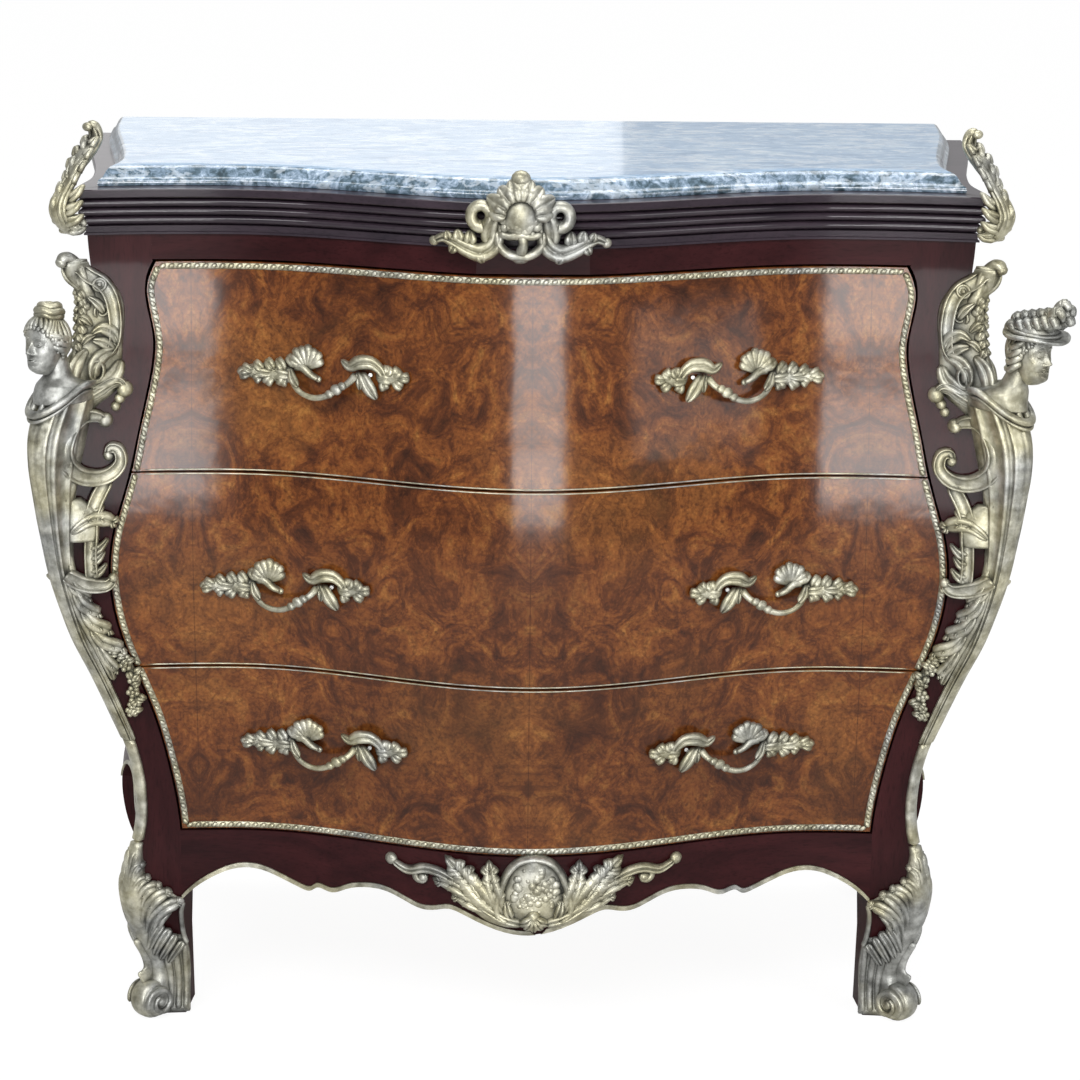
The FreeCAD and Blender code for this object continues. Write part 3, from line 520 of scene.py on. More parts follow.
def ropeLine(bm, points):
    sizes = [math.dist(a, b) for a, b in zip(points, points[1:])]
    total = sum(sizes)
    count = round(total / rope["step"])
    for i in range(count):
        want = (i + 0.5) / count * total
        k = 0
        while want > sizes[k]:
            want -= sizes[k]
            k += 1
        f = want / sizes[k]
        u = points[k][0] + (points[k + 1][0] - points[k][0]) * f
        v = points[k][1] + (points[k + 1][1] - points[k][1]) * f
        a = math.atan2(points[k + 1][1] - points[k][1], points[k + 1][0] - points[k][0]) + rope["lean"]
        du, dv = math.cos(a) * rope["long"] / 2, math.sin(a) * rope["long"] / 2
        made = bmesh.ops.create_uvsphere(bm, u_segments=8, v_segments=5, radius=1)["verts"]
        for vert in made:
            x, y, z = vert.co
            vert.co = onFront(u + du * z - math.sin(a) * rope["thick"] * x,
                              rope["proud"] + rope["thick"] * y * 0.9,
                              v + dv * z + math.cos(a) * rope["thick"] * x)


def edgeLine(low, high):
    heights = [low + (high - low) * i / rope["points"] for i in range(rope["points"] + 1)]
    return [(smooth(caseShape["drawer"], z) - rope["inset"], z) for z in heights]


def levelLine(half, z):     # from the right to the left
    return [(half * (1 - i / (rope["points"] / 2)), z) for i in range(rope["points"] + 1)]


for name, (low, high) in drawerHeights.items():
    bm = bmesh.new()
    top = high - rope["inset"] if name == "upper" else high
    bottom = low + rope["inset"] if name == "lower" else low
    right = edgeLine(bottom, top)
    left = [(-u, v) for u, v in reversed(right)]
    lines = [right, left]
    if name == "upper":
        lines.append(levelLine(right[-1][0], top))
    if name == "lower":
        lines.append(levelLine(-right[0][0], bottom))
    for line in lines:
        ropeLine(bm, line)
        strap(bm, onFront, line[::4], 6.4, 1.4, "round", 60, 0.003)     # flat bed under the strands
    # thin bronze bead along the joints, standing in for the light line on the drawers' rounded edges:
    # painted highlight
    for z, wanted in ((high - 1.2, name != "upper"), (low + 1.2, name != "lower")):
        if wanted:
            strap(bm, onFront, levelLine(smooth(caseShape["drawer"], z) - 8, z), 1.3, 0.7, "round", 60,
                  0.002)
    finishPiece(bm, name + "Rope", name + "_drawer", bronze, [name + "_rope_trim"])
print("rope trim done")


# handles
handleDesign = {    # mm from the middle of the handle, for the left side of the front
    "spots": {"upper": (-208, 716), "middle": (-248, 497), "lower": (-210, 324)},
    "plates": [([(-32, -7, 2), (-48, -5, 3), (-64, -4, 3), (-80, -4, 3), (-91, -5, 2)],
                [16, 18, 16, 12, 5]), ([(52, -4, 2), (62, -1, 3), (72, 0, 3), (83, -1, 2)],
                                       [10, 15, 14, 7])],
    "lobes": [((-42, -3), (-51, 9), 11), ((-53, -3), (-62, 8), 11), ((-63, -3), (-74, 5), 10),
              ((-73, -4), (-86, 1), 9), ((-40, -8), (-46, -18), 11), ((-53, -8), (-62, -17), 11),
              ((-65, -8), (-74, -13), 10), ((-76, -6), (-89, -8), 9), ((-34, -6), (-56, -5), 11),
              ((-52, -5), (-76, -4), 10), ((-31, 2), (-40, 13), 10), ((59, 0), (65, 11), 11),
              ((67, 1), (76, 9), 11), ((72, 0), (86, 1), 10), ((69, -3), (79, -10), 10),
              ((59, -4), (62, -14), 10), ((52, -3), (68, -2), 11)],
    "shell": (-19, 1), "shellReach": 25,
    "curl": ([(-33, 3, 4), (-24, 3, 6), (-15, -4, 7), (-7, -8, 5)], [10, 9, 7, 5]),
    "bail": ([(-34, -5, 6), (-32, -13, 13), (-24, -20, 20), (-11, -23, 24), (2, -20, 25), (13, -13, 24),
              (24, -7, 18), (32, 1, 9)], [8, 6.5, 5.5, 6, 6, 6.5, 6.5, 8]),
    "arch": ([(16, 14, 9), (25, 8, 10), (35, 13, 11), (47, 13, 9), (56, 6, 6), (61, -4, 4)],
             [4, 10, 14, 13, 10, 7]),
    "drops": [([(37, 3, 6), (42, -8, 9), (48, -17, 8), (53, -23, 5)], 14),
              ([(33, 3, 6), (35, -7, 8), (35, -15, 6)], 9),
              ([(-27, -14, 17), (-33, -8, 13), (-36, 2, 7)], 9)],
}


def placeAt(x, z):
    def place(u, h, v):
        return onFront(x + u, h, z + v)
    return place


def buildHandle(bm, place):
    d = handleDesign
    for points, widths in d["plates"]:
        strap(bm, place, points, widths, 5, "round", 20)
    for (u0, v0), (u1, v1), wide in d["lobes"]:
        mid = ((u0 + u1) / 2 + (v1 - v0) * 0.12, (v0 + v1) / 2, 7)
        leaf(bm, place, [(u0, v0, 4), mid, (u1, v1, 3)], wide, 4, 8, True)
    sx, sz = d["shell"]
    bead(bm, place, sx + 3, sz + 11, 10, 2, 6, 12)
    for i in range(8):      # scalloped shell
        a = math.radians(32 + 128 * i / 7)
        reach = d["shellReach"] * (0.80 + 0.16 * math.sin(math.pi * i / 7) + 0.05 * (i % 2))
        mid = (sx + reach * 0.55 * math.cos(a), sz + reach * 0.55 * math.sin(a), 7)
        tip = (sx + reach * math.cos(a), sz + reach * math.sin(a), 5)
        strap(bm, place, [(sx, sz, 4), mid, tip], [4, 6.5, 9.5, 8], [3, 4, 4.5], "round", 10, 0.25)
    strap(bm, place, *d["curl"], 6)
    bead(bm, place, -7, -8, 3.4, 6, 3.5)
    strap(bm, place, *d["bail"], [4, 3.2, 2.8, 3, 3, 3.2, 3.4, 4], "rod", 34, 0.05)
    for u, v, size in ((12, -13, 5.5), (5, -18, 4.2), (18, -9, 4.2)):
        bead(bm, place, u, v, size, 25, 4.6, size * 1.1)
    strap(bm, place, *d["arch"], [5, 6, 6, 5], "leaf", 22)
    for points, wide in d["drops"]:
        leaf(bm, place, points, wide, 6, 12)


for name, (x, z) in handleDesign["spots"].items():
    bm = bmesh.new()
    buildHandle(bm, placeAt(x, z))
    buildHandle(bm, mirrorOf(placeAt(x, z)))
    finishPiece(bm, name + "Handles", name + "_drawer", bronze, [name + "_handles"])
print("handles done")


# marble and cornice
planSteps = {"side": 24, "front": 56}


# outline in plan at the top of the case, moved out: right rear corner, round the front, left rear corner
def planLoop(overhang):
    reach = smooth(caseShape["corner"], caseTop) + overhang
    yCorner = frontY(reach, caseTop) - overhang
    back = caseShape["backPlane"]
    depths = [back + (yCorner - back) * i / planSteps["side"] for i in range(planSteps["side"] + 1)]
    side = [(reach + flareAt(y), y) for y in depths]
    widths = [reach * math.cos(math.pi * i / (2 * planSteps["front"]))
              for i in range(1, planSteps["front"])]
    front = [(x, frontY(x, caseTop) - overhang) for x in widths]
    half = side + front + [(0, frontY(0, caseTop) - overhang)]
    return half + [(-x, y) for x, y in reversed(half[:-1])]


# moulding run round the plan: rows of (overhang, height)
def moulded(bm, rows):
    loops = [[Vector((x, y, z)) * mm for x, y in planLoop(out)] for out, z in rows]
    count, last = len(loops[0]) - 1, len(rows) - 1
    gridShape(bm, count, last, lambda s, t: loops[round(t * last)][round(s * count)])


# point of the plan: u from left to right, v from the front edge to the back
def planPoint(overhang, u, v):
    reach = smooth(caseShape["corner"], caseTop) + overhang
    x = reach * math.sin(u * math.pi / 2)
    y0 = frontY(x, caseTop) - overhang
    y = y0 + (marbleShape["back"] - y0) * v
    return x * (reach + flareAt(y)) / (reach + flareAt(y0)), y


def marblePoint(spot, overhang, z):
    return Vector((*planPoint(overhang, spot.x, (spot.y + 1) / 2), z)) * mm


marbleShape = {"back": 241, "columns": 96, "rows": 20,
               "edge": [(-24.5, 915.0), (-22.0, 914.4), (-19.4, 912.8), (-17.4, 910.4), (-15.8, 907.6),
                        (-14.4, 905.2), (-12.6, 903.6), (-10.5, 902.4), (-9.6, 900.6), (-9.4, 898.4),
                        (-10.2, 896.3)]}
bm = bmesh.new()
spots = bm.verts.layers.float_vector.new("spot")
top = bmesh.ops.create_grid(bm, x_segments=marbleShape["columns"], y_segments=marbleShape["rows"],
                            size=1)["verts"]
for v in top:
    v[spots] = v.co.copy()
edge = marbleShape["edge"]
ring = [e for e in bm.edges if e.is_boundary]
for out, z in edge[1:]:
    made = bmesh.ops.extrude_edge_only(bm, edges=ring)["geom"]
    ring = [e for e in made if isinstance(e, bmesh.types.BMEdge) and e.is_boundary]
    for v in {v for e in ring for v in e.verts}:
        v.co = marblePoint(v[spots], out, z)
for v in top:
    v.co = marblePoint(v[spots], *edge[0])
bmesh.ops.holes_fill(bm, edges=ring, sides=0)
bm.verts.layers.float_vector.remove(spots)
marblePiece = finishPiece(bm, "marbleTop", "case", marble, ["marble_top"])


def reed(z0, z1, out, deep):
    rows = []
    for i in range(7):
        a = math.pi * i / 6 - math.pi / 2
        rows.append((out - deep + deep * math.cos(a), (z0 + z1) / 2 + (z1 - z0) / 2 * math.sin(a)))
    return rows


corniceRows = [(-6, 849.2), (3.2, 849.2), (3.2, 851.2), (1.6, 851.8), (1.6, 857.6), (-1.5, 858.2)]
corniceRows += reed(859.4, 867.6, 5.4, 5) + reed(868.6, 876.6, 7.6, 5) + reed(877.6, 885.6, 9.8, 5)
corniceRows += [(4, 886.6), (11.2, 887.4), (12, 888.2), (12, 895.2), (11, 896), (-34, 896), (-34, 849.2),
                (-6, 849.2)]
bm = bmesh.new()
moulded(bm, corniceRows)
cornice = finishPiece(bm, "corniceMoulding", "case", corniceWoodReflectionTint,
                      ["cornice_front", "cornice_left", "cornice_right"])
for piece in (marblePiece, cornice):
    piece.data.set_sharp_from_angle(angle=creaseAngle)
print("marble and cornice done")


# corner mounts
# rows of height, stand-off, half depth outward and half width
termBody = [(707, 33, 16, 18), (690, 35, 27, 19), (672, 36, 30, 18), (650, 35, 31, 16.5), (625, 31, 28, 15),
            (600, 26, 23, 13.8), (570, 19, 19, 12.5), (540, 13, 15, 11.2), (505, 8, 11.5, 10.4),
            (470, 5, 9, 9.3), (430, 3, 8, 8.8), (391, 0, 6.5, 8.8), (350, -1.5, 6, 8.5), (318, -2, 5.5, 8)]
# half section from the back to the outer face: sunk field between two rims, groove, outer panel
termHalf = [(-1, 0.5), (-0.9, 0.85), (-0.62, 0.95), (-0.5, 0.98), (-0.45, 1.14), (-0.34, 1.14),
            (-0.28, 0.95), (0, 0.97), (0.26, 0.97), (0.33, 1.12), (0.42, 1.12), (0.49, 0.9), (0.56, 0.62),
            (0.64, 0.78), (0.7, 0.92), (0.76, 0.92), (0.8, 0.74), (0.86, 0.64), (0.9, 0.52), (0.95, 0.42),
            (0.93, 0.3), (0.98, 0.2), (1, 0.08)]
roundHalf = [(-math.cos(a), math.sin(a)) for a in [math.pi * (i + 0.5) / 12 for i in range(12)]]


# body on the corner of the case
def cornerBody(bm, rows, steps, half=roundHalf):
    ring = half + [(d, -w) for d, w in reversed(half)]
    count = len(ring)
    def place(s, t):
        z, stand, deep, wide = along(rows, s)
        d, w = ring[round(t * count) % count]
        full = roundedEnd(s, 0.02)
        return onCorner(stand + deep * d * full, wide * w * full, z)
    gridShape(bm, steps, count, place)


topHook = ([(6, 786), (12, 795), (15, 805), (16, 814), (20, 823), (27, 829), (34, 829), (38, 824)],
           [16, 17, 14, 12, 12, 12, 10, 7], [10, 11, 10, 9, 8, 8, 7, 5])
wing = {    # rocaille above the shoulder: edges and parts, on the front
    "left": [(670, 447), (680, 437), (693, 421), (706, 418), (724, 415), (744, 414), (764, 412), (784, 414),
             (801, 424), (814, 443), (819, 455), (825, 463)],
    "right": [(670, 474), (684, 473), (698, 471), (712, 467), (729, 463), (748, 458), (768, 456),
              (788, 455), (798, 459), (806, 466), (816, 470), (825, 470)],
    "scroll": ([(470, 824, 1), (461, 823, 2), (452, 817, 3), (444, 810, 4), (432, 802, 4), (424, 790, 4),
                (420, 774, 4), (419, 757, 4), (421, 741, 3), (428, 730, 2)],
               [7, 9, 11, 13, 14, 14, 14, 13, 11, 6]),
    "leaves": [([(417, 738, 3), (421, 751, 7), (432, 758, 9), (443, 752, 6)], 13),
               ([(419, 732, 3), (430, 743, 8), (442, 747, 6)], 11),
               ([(415, 725, 2), (420, 711, 6), (432, 703, 8), (450, 702, 5)], 17),
               ([(417, 735, 4), (431, 731, 8), (440, 719, 8), (441, 701, 5)], 15),
               ([(446, 738, 3), (455, 727, 6), (459, 712, 6), (458, 696, 4)], 15),
               ([(430, 772, 4), (436, 782, 7), (446, 790, 5)], 9),
               ([(452, 742, 3), (446, 749, 7), (437, 752, 5)], 8),
               ([(455, 770, 3), (448, 768, 7), (441, 760, 5)], 8)],
    "roll": ([(411, 694, 2), (415, 702, 4), (424, 702, 5), (434, 696, 6), (446, 691, 6), (459, 693, 5)],
             [8, 9, 12, 14, 14, 9]),
    "beads": [(411, 695, 8.5), (447, 780, 4.5), (450, 756, 4.5), (432, 774, 3.5), (416, 686, 5.5),
              (420, 678, 5), (453, 788, 4)],
    # middle, half width and height, lift, height of the moulding, steps, bead in the middle
    "rings": [(434, 801, 6, 6, 7, 4, 24, (3, 7, 4)), (437, 716, 6.5, 10, 8, 4.5, 26, (6.5, 8, 4.5, 3.6))],
}
console = {     # pierced scroll beside the term
    "ring": ([(431, 666, 7), (438, 670, 10), (449, 671, 15), (459, 664, 22), (465, 651, 27), (467, 638, 26),
              (464, 624, 21), (453, 612, 14), (438, 608, 9), (424, 612, 6), (415, 623, 6), (417, 635, 6),
              (425, 638, 6), (428, 632, 6)], [8, 11, 14, 16, 17, 17, 17, 17, 16, 15, 13, 11, 9, 7]),
    "arm": ([(428, 606, 5), (436, 592, 6), (442, 578, 7), (445, 564, 7), (445, 549, 7), (446, 534, 7),
             (446, 519, 7), (445, 503, 7)], [14, 15, 15, 16, 14, 13, 13, 14]),
    "foot": ([(470, 512, 15), (458, 502, 10), (445, 497, 7), (432, 496, 5), (424, 502, 5)],
             [14, 16, 16, 13, 9]),
    "plate": ([(544, 441), (556, 438), (568, 439), (578, 444), (588, 455)],
              [(544, 470), (556, 473), (568, 474), (578, 474), (588, 474)]),
    "crossLeaf": ([(466, 552, 13), (456, 560, 13), (445, 566, 12), (433, 566, 10), (422, 561, 6)], 15),
    "web": ([(588, 462), (598, 459), (606, 458), (616, 462), (630, 466), (645, 468), (662, 463)],
            [(588, 474), (598, 475), (606, 476), (616, 477), (630, 478), (645, 476), (662, 470)]),
    "tips": [((446, 532), (429, 545)), ((446, 522), (433, 532)), ((446, 508), (431, 519)),
             ((444, 572), (433, 580))],
    "strap": ([(472, 545, 3), (468, 508, 10), (459, 475, 8), (448, 446, 6), (438, 418, 5), (428, 390, 3)],
              [10, 16, 18, 16, 11, 6]),
    "lower": [(((468, 512, 10), (462, 495, 11), (448, 482, 5)), 13),
              (((464, 494, 9), (455, 476, 10), (439, 465, 5)), 14),
              (((457, 472, 8), (446, 456, 9), (429, 446, 4)), 15),
              (((449, 450, 7), (436, 434, 7), (417, 426, 4)), 15),
              (((443, 432, 6), (434, 414, 6), (424, 401, 4)), 12)],
}


# height of the rocaille over the case: it leans out to a ridge on the corner
def wingLift(u, v):
    corner = cornerAt(v)
    left, right = smooth(wing["left"], v), smooth(wing["right"], v)
    top = frontY(right, v) - corner.y + right - corner.x
    return 2 + (top - 2) * min(max((u - left) / (right - left), 0.0), 1.0) ** 1.3


def rocailleFace(bm, place):
    def onWing(u, h, v):
        return place(u, h + wingLift(u, v), v)
    field(bm, onWing, wing["left"], wing["right"], 4.5, 36)
    strap(bm, onWing, *wing["scroll"], 8, "band", 44, 0.04)
    strap(bm, onWing, *wing["roll"], 7, "flutes", 26, 0.06)
    for points, wide in wing["leaves"]:
        leaf(bm, onWing, points, wide, 5, 12)
    for u, v, size in wing["beads"]:
        bead(bm, onWing, u, v, size, 4, size * 0.9)
    for u, v, wide, tall, lift, high, count, eye in wing["rings"]:
        ring = [(u + wide * math.cos(a), v + tall * math.sin(a), lift) for a in roundAngles(6)]
        strap(bm, onWing, ring, 3.6, high, "round", count, 0)
        bead(bm, onWing, u, v, *eye)
    strap(bm, onWing, hook((432, 774), 8, -60, 420, 0.6, 14), [4, 4.5, 4, 3], 8, "round", 30)
    for i in range(7):      # husks down the ridge
        v = 792 - 8.5 * i
        u = smooth(wing["right"], v) - 5
        leaf(bm, onWing, [(u + 3, v + 4, 3), (u, v, 6), (u - 2, v - 6, 3)], 8, 4, 6)


def consoleFace(bm, place):
    strap(bm, place, *console["ring"], 8, "band", 64, 0.03)
    for key in ("arm", "foot"):
        strap(bm, place, *console[key], 8, "band", 30, 0.06)
    field(bm, lambda u, h, v: place(u, h + 10, v), *console["plate"], 6, 20)
    field(bm, lambda u, h, v: place(u, h + 16, v), *console["web"], 5, 16)
    acanthus(bm, place, *console["crossLeaf"], 6, 3)
    for u, v, size, lift in ((430, 665, 7.5, 7), (427, 630, 6, 7), (425, 503, 5.5, 6), (452, 574, 4, 12)):
        bead(bm, place, u, v, size, lift, size)
    for base, tip in console["tips"]:
        mid = ((base[0] + tip[0]) / 2 - 1, (base[1] + tip[1]) / 2 - 2, 9)
        strap(bm, place, [(*base, 7), mid, (*tip, 5)], [13, 11, 7, 3], 6, "leaf", 10)
    strap(bm, place, *console["strap"], 6, "leaf", 34, 0.06)
    for points, wide in console["lower"]:
        acanthus(bm, place, points, wide, 6, 3, 0.6, (-1,) if place is onSide else (1,))


garlandLine = [(431, 424), (420, 415), (412, 402), (409, 388), (407, 372), (409, 358), (414, 349)]


def flower(bm, place, u, v, size, lift):
    for i in range(5):
        a = math.radians(72 * i + u * 13)
        bead(bm, place, u + size * 0.62 * math.cos(a), v + size * 0.62 * math.sin(a), size * 0.48, lift,
             size * 0.4, turns=8)
    bead(bm, place, u, v, size * 0.38, lift + size * 0.25, size * 0.35, turns=8)


def garlandFace(bm, place):
    pick = random.Random(7)
    strap(bm, place, [(u, v, 1) for u, v in garlandLine], [8, 9, 9, 8, 7, 6, 4], 4, "round", 20)
    for i in range(21):
        u, v = along(garlandLine, i / 20)
        u += pick.uniform(-3, 6) if i < 17 else 0
        v += pick.uniform(-2, 2)
        if i % 3 == 0:
            flower(bm, place, u, v, 7, 5)
        else:
            a = pick.uniform(1.8, 4.4)
            mid, tip = [(u + r * math.cos(a), v + r * math.sin(a), lift) for r, lift in ((5, 7), (10, 4))]
            leaf(bm, place, [(u, v, 4), mid, tip], 8, 4, 6)


bm = bmesh.new()
cornerBody(bm, termBody, 60, termHalf)
for place in (onFront, onSide):
    rocailleFace(bm, place)
    consoleFace(bm, place)
strap(bm, onCorner, topHook[0], *topHook[1:], "rod", 40, 0.06)
bead(bm, onCorner, 37, 825, 5.2, 0, 6)
for side in (-1, 1):        # ribs of the hook
    strap(bm, lambda u, h, v: onCorner(u, side * (h + 4), v),
          [(9, 790), (13, 800), (15, 811), (17, 820), (23, 825)], [5, 6, 5, 5, 3], 5, "round", 24)
finishPair(bm, "cornerMount", bronze, "corner_mount")
bm = bmesh.new()
for place in (onFront, onSide):
    garlandFace(bm, place)
finishPair(bm, "garland", bronze, "garland")
bm = bmesh.new()
cornerBody(bm, [(324, -2, 5.2, 8), (290, -2, 5, 7.6), (250, -2, 5, 7.4), (204, -2, 5.4, 7.6)], 20)
finishPair(bm, "cornerStrip", bronze, "corner_strip")
print("corner mounts done")


# sabots
sabotRows = [(207, -1.5, 5.5, 7.8), (195, -2, 7, 8.5), (178, -5, 10, 11), (158, -8, 13, 14),
             (140, -9, 14, 15), (118, -10, 13, 14.5), (95, -10, 12, 13.5), (65, -8, 10.5, 12.5),
             (48, -5, 11, 13), (36, 0, 12, 14), (24, 3, 14, 15), (12, 3, 15, 15), (3, 2, 14, 14)]
sabotParts = {      # on each face of the leg
    "knee": ([(102, 399), (112, 394), (121, 390), (128, 378), (136, 368), (146, 377), (154, 390),
              (164, 401), (180, 406), (203, 410)],
             [(102, 414), (112, 418), (121, 420), (128, 421), (136, 422), (146, 423), (154, 423),
              (164, 421), (180, 419), (203, 413)]),
    "lobes": [(((404, 94, 2), (397, 116, 5), (383, 131, 7), (367, 137, 3)), 15),
              (((407, 98, 2), (403, 126, 5), (392, 143, 7), (379, 149, 3)), 15),
              (((411, 106, 2), (409, 138, 4), (401, 153, 6), (389, 156, 3)), 14),
              (((414, 116, 1), (414, 150, 4), (409, 162, 5), (400, 166, 3)), 12),
              (((416, 130, 1), (417, 162, 3), (413, 177, 4), (405, 181, 2)), 11),
              (((418, 146, 0), (417, 176, 2), (414, 190, 3), (409, 196, 1)), 9),
              (((403, 88, 3), (394, 104, 6), (388, 118, 6), (379, 126, 3)), 11)],
    "curls": [(368, 137, 5), (380, 149, 5), (390, 157, 4.5), (401, 166, 4), (406, 181, 3.6)],
    "frills": [(((403, 78, 5), (396, 96, 8), (387, 110, 4)), 10),
               (((398, 70, 5), (389, 90, 8), (379, 104, 4)), 10),
               (((392, 64, 5), (382, 82, 7), (373, 97, 4)), 9),
               (((384, 60, 5), (374, 76, 6), (366, 88, 4)), 9)],
    "rim": ([(364, 136, 3), (367, 124, 3), (367, 108, 3), (365, 92, 3), (362, 84, 4)], 5),
    "shaft": ([(2, 362), (24, 362), (56, 361), (82, 363), (94, 368)],
              [(2, 392), (24, 391), (56, 400), (82, 407), (94, 411)]),
    "ribs": [([(366, 4, 2), (365, 45, 2), (366, 84, 2)], 6), ([(374, 4, 2), (373, 45, 3), (377, 90, 3)], 7),
             ([(383, 6, 3), (382, 45, 3), (388, 98, 3)], 8),
             ([(391, 40, 2), (393, 66, 2), (400, 100, 2)], 8)],
}


def sabotFace(bm, place):
    d = sabotParts
    field(bm, place, *d["knee"], 3, 30)
    for points, wide in d["lobes"]:
        acanthus(bm, place, points, wide, 6, 2, 0.5)
    for u, v, size in d["curls"]:
        bead(bm, place, u, v, size, 4, 4, turns=10)
    for points, wide in d["frills"]:
        leaf(bm, place, points, wide, 5, 10, True)
    strap(bm, place, *d["rim"], 3, "round", 20)
    field(bm, place, *d["shaft"], 3, 20)
    for points, wide in d["ribs"]:
        strap(bm, place, points, wide, 3, "round", 16, 0.08)


toe = {"out": 11, "height": 21.3, "turn": -20, "turnStep": 18, "radius": 15.5, "radiusStep": 0.33,
       "coilPoints": 26, "half": [(0, 21.5), (2.5, 21.3), (4.6, 20), (5.4, 17.6), (6.6, 16.6), (8.2, 17.6),
                                  (10, 19), (12.2, 19.4), (14.4, 18.4), (16, 15.8), (16.2, 13),
                                  (15.8, 11.2), (17.6, 10.6), (19.6, 9.4), (20.8, 6.6), (21.3, 3),
                                  (21.3, 0)]}
bm = bmesh.new()
cornerBody(bm, sabotRows, 36)
for place in (onFront, onSide):
    sabotFace(bm, place)


def onToe(u, h, v):
    return (cornerAt(toe["height"]) + outward * (toe["out"] + u) + across * h + Vector((0, 0, v))) * mm


turned(bm, onToe, toe["half"] + [(r, -h) for r, h in reversed(toe["half"][:-1])], 48)
coil = []                   # the scroll winds in to its eye
for k in range(toe["coilPoints"]):
    a = math.radians(toe["turn"] + toe["turnStep"] * k)
    r = toe["radius"] - toe["radiusStep"] * k
    coil.append((r * math.cos(a), r * math.sin(a), 15.5 + 3.4 * math.sin(min(1.0, k / 20) * math.pi / 2)))
for side in (-1, 1):
    strap(bm, lambda u, h, v: onToe(u, side * h, v), coil, [7, 6, 5, 4], 3, "round", 90, 0.03)
strap(bm, onCorner, [(0, 92), (-1, 72), (1, 54), (8, 43), (18, 38)], [16, 18, 22, 30, 30], [4, 4, 4, 3, 2],
      "rod", 26, 0.08)
finishPair(bm, "sabot", wornBronze, "sabot")
print("sabots done")


# clasps at the corners of the cornice
claspTop = cornerAt(caseTop) + Vector((9, -9, 0))
claspStem = [(-5, 862), (2, 857), (10, 859), (18, 867), (22, 879), (18, 890), (10, 900), (3, 909),
             (-1, 918), (-9, 927), (-20, 936), (-28, 946), (-25, 957), (-17, 959)]
# how far each rib stands from the middle, along the stem
claspRibs = (5, 7, 8, 8, 7, 5.5, 5.5, 7, 8, 7, 5.5, 4.5)


def onClasp(u, h, v):
    return (claspTop + outward * u + across * h + Vector((0, 0, v - caseTop))) * mm


# leaves that fan to one side of the stem
def claspPlace(turn):
    aside = outward * math.cos(turn) + across * math.sin(turn)
    def place(u, h, v):
        return (claspTop + aside * u + outward * h + Vector((0, 0, v - caseTop))) * mm
    return place


bm = bmesh.new()
strap(bm, onClasp, claspStem, [8, 11, 14, 16, 16, 14, 11, 10, 13, 15, 13, 11, 10, 8],
      [5, 7, 9, 10, 10, 9, 7, 7, 9, 10, 9, 7, 6, 5], "rod", 70, 0.05)
bead(bm, onClasp, -5, 862, 5, 0, 7)
bead(bm, onClasp, -16, 957, 4.6, 0, 6)
for side in (-1, 1):
    fan = claspPlace(side * math.radians(80))
    # tips over the reeds
    for z, reach, rise, out in ((861, 17, -4, 8), (870, 21, 1, 13), (881, 22, 4, 14), (892, 18, 8, 9)):
        points = [(-2, z - 6, out), (reach * 0.45, z - 3, out + 3), (reach * 0.85, z + rise * 0.6, out - 3),
                  (reach, z + rise + 4, out - 9)]
        leaf(bm, fan, points, 12, 5, 12)
    for z, reach, rise, out in ((908, 10, 8, 2), (919, 13, 8, -5), (930, 13, 8, -13), (941, 10, 7, -22)):
        leaf(bm, fan, [(0, z - 5, out), (reach * 0.6, z, out + 4), (reach, z + rise, out - 2)], 11, 5, 10)
    for aside, wide, start, spread in ((0, 5, 0.6, 1.0), (5, 4, 0, 0.8)):        # ribs along the scroll
        line = [(u + start, v, rib * spread) for (u, v), rib in zip(claspStem[1:13], claspRibs)]
        strap(bm, lambda u, h, v: onClasp(u + aside, side * h, v), line, wide, 3, "round", 60)
for z, out in ((884, 21), (896, 13), (922, -4), (936, -18)):
    leaf(bm, onClasp, [(out - 3, z - 9, -2), (out + 6, z, 0), (out + 4, z + 8, 0)], 9, 5)
finishPair(bm, "cornerClasp", bronze, "corner_clasp")
print("clasps done")


# crest and apron mount
crest = {"middle": -13, "lift": 13}


def crestPlace(flip):
    def place(u, h, v):
        return onFront(crest["middle"] + flip * u, crest["lift"] + h, v)
    return place


crestParts = {      # right half, mm from the middle
    "hood": [(4, 14), (26, 16), (52, 17), (74, 16), (90, 15), (106, 16), (128, 17), (154, 16), (176, 14)],
    "arm": ([(24, 880, 6), (23, 866, 6), (28, 854, 6), (40, 848, 6), (54, 852, 5), (66, 858, 4),
             (76, 861, 3), (85, 857, 3)], [10, 15, 18, 18, 16, 13, 9, 6]),
    "leaves": [(((50, 854), (49, 870)), 14), (((60, 857), (62, 870)), 13), (((70, 859), (73, 868)), 10),
               (((40, 850), (37, 837)), 14), (((64, 855), (69, 846)), 10)],
    "bowl": ([(-23, 872, 6), (-22, 858, 6), (-13, 848, 6), (0, 845, 6), (13, 848, 6), (22, 858, 6),
              (23, 872, 6)], [8, 9, 9, 10, 9, 9, 8]),
    "stem": ([(0, 870, 9), (3, 859, 9), (0, 846, 7)], [13, 9, 12]),
    "bar": ([(-22, 869, 8), (-11, 866, 9), (0, 868, 10), (11, 866, 9), (22, 869, 8)], [8, 9, 10, 9, 8]),
}
bm = bmesh.new()
front = crestPlace(1)
bead(bm, front, 0, 886, 25, 0, 21, 26, 28)
for i, (angle, wide) in enumerate(crestParts["hood"]):      # leafy hood over the boss
    a = math.radians(angle)
    reach = 1.0 + 0.07 * (i % 2)
    root = (14 * math.cos(a), 886 + 15 * math.sin(a), 18)
    mid = (25 * math.cos(a), 888 + 24 * math.sin(a), 17)
    tip = (35 * reach * math.cos(a), 889 + 31 * reach * math.sin(a), 4)
    leaf(bm, front, [root, mid, tip], wide + 3, 6, 12)
bead(bm, front, 0, 921, 9.5, 7, 8, 10)
strap(bm, front, [(-15, 911, 9), (0, 915, 12), (15, 911, 9)], 8, 5, "round", 14)
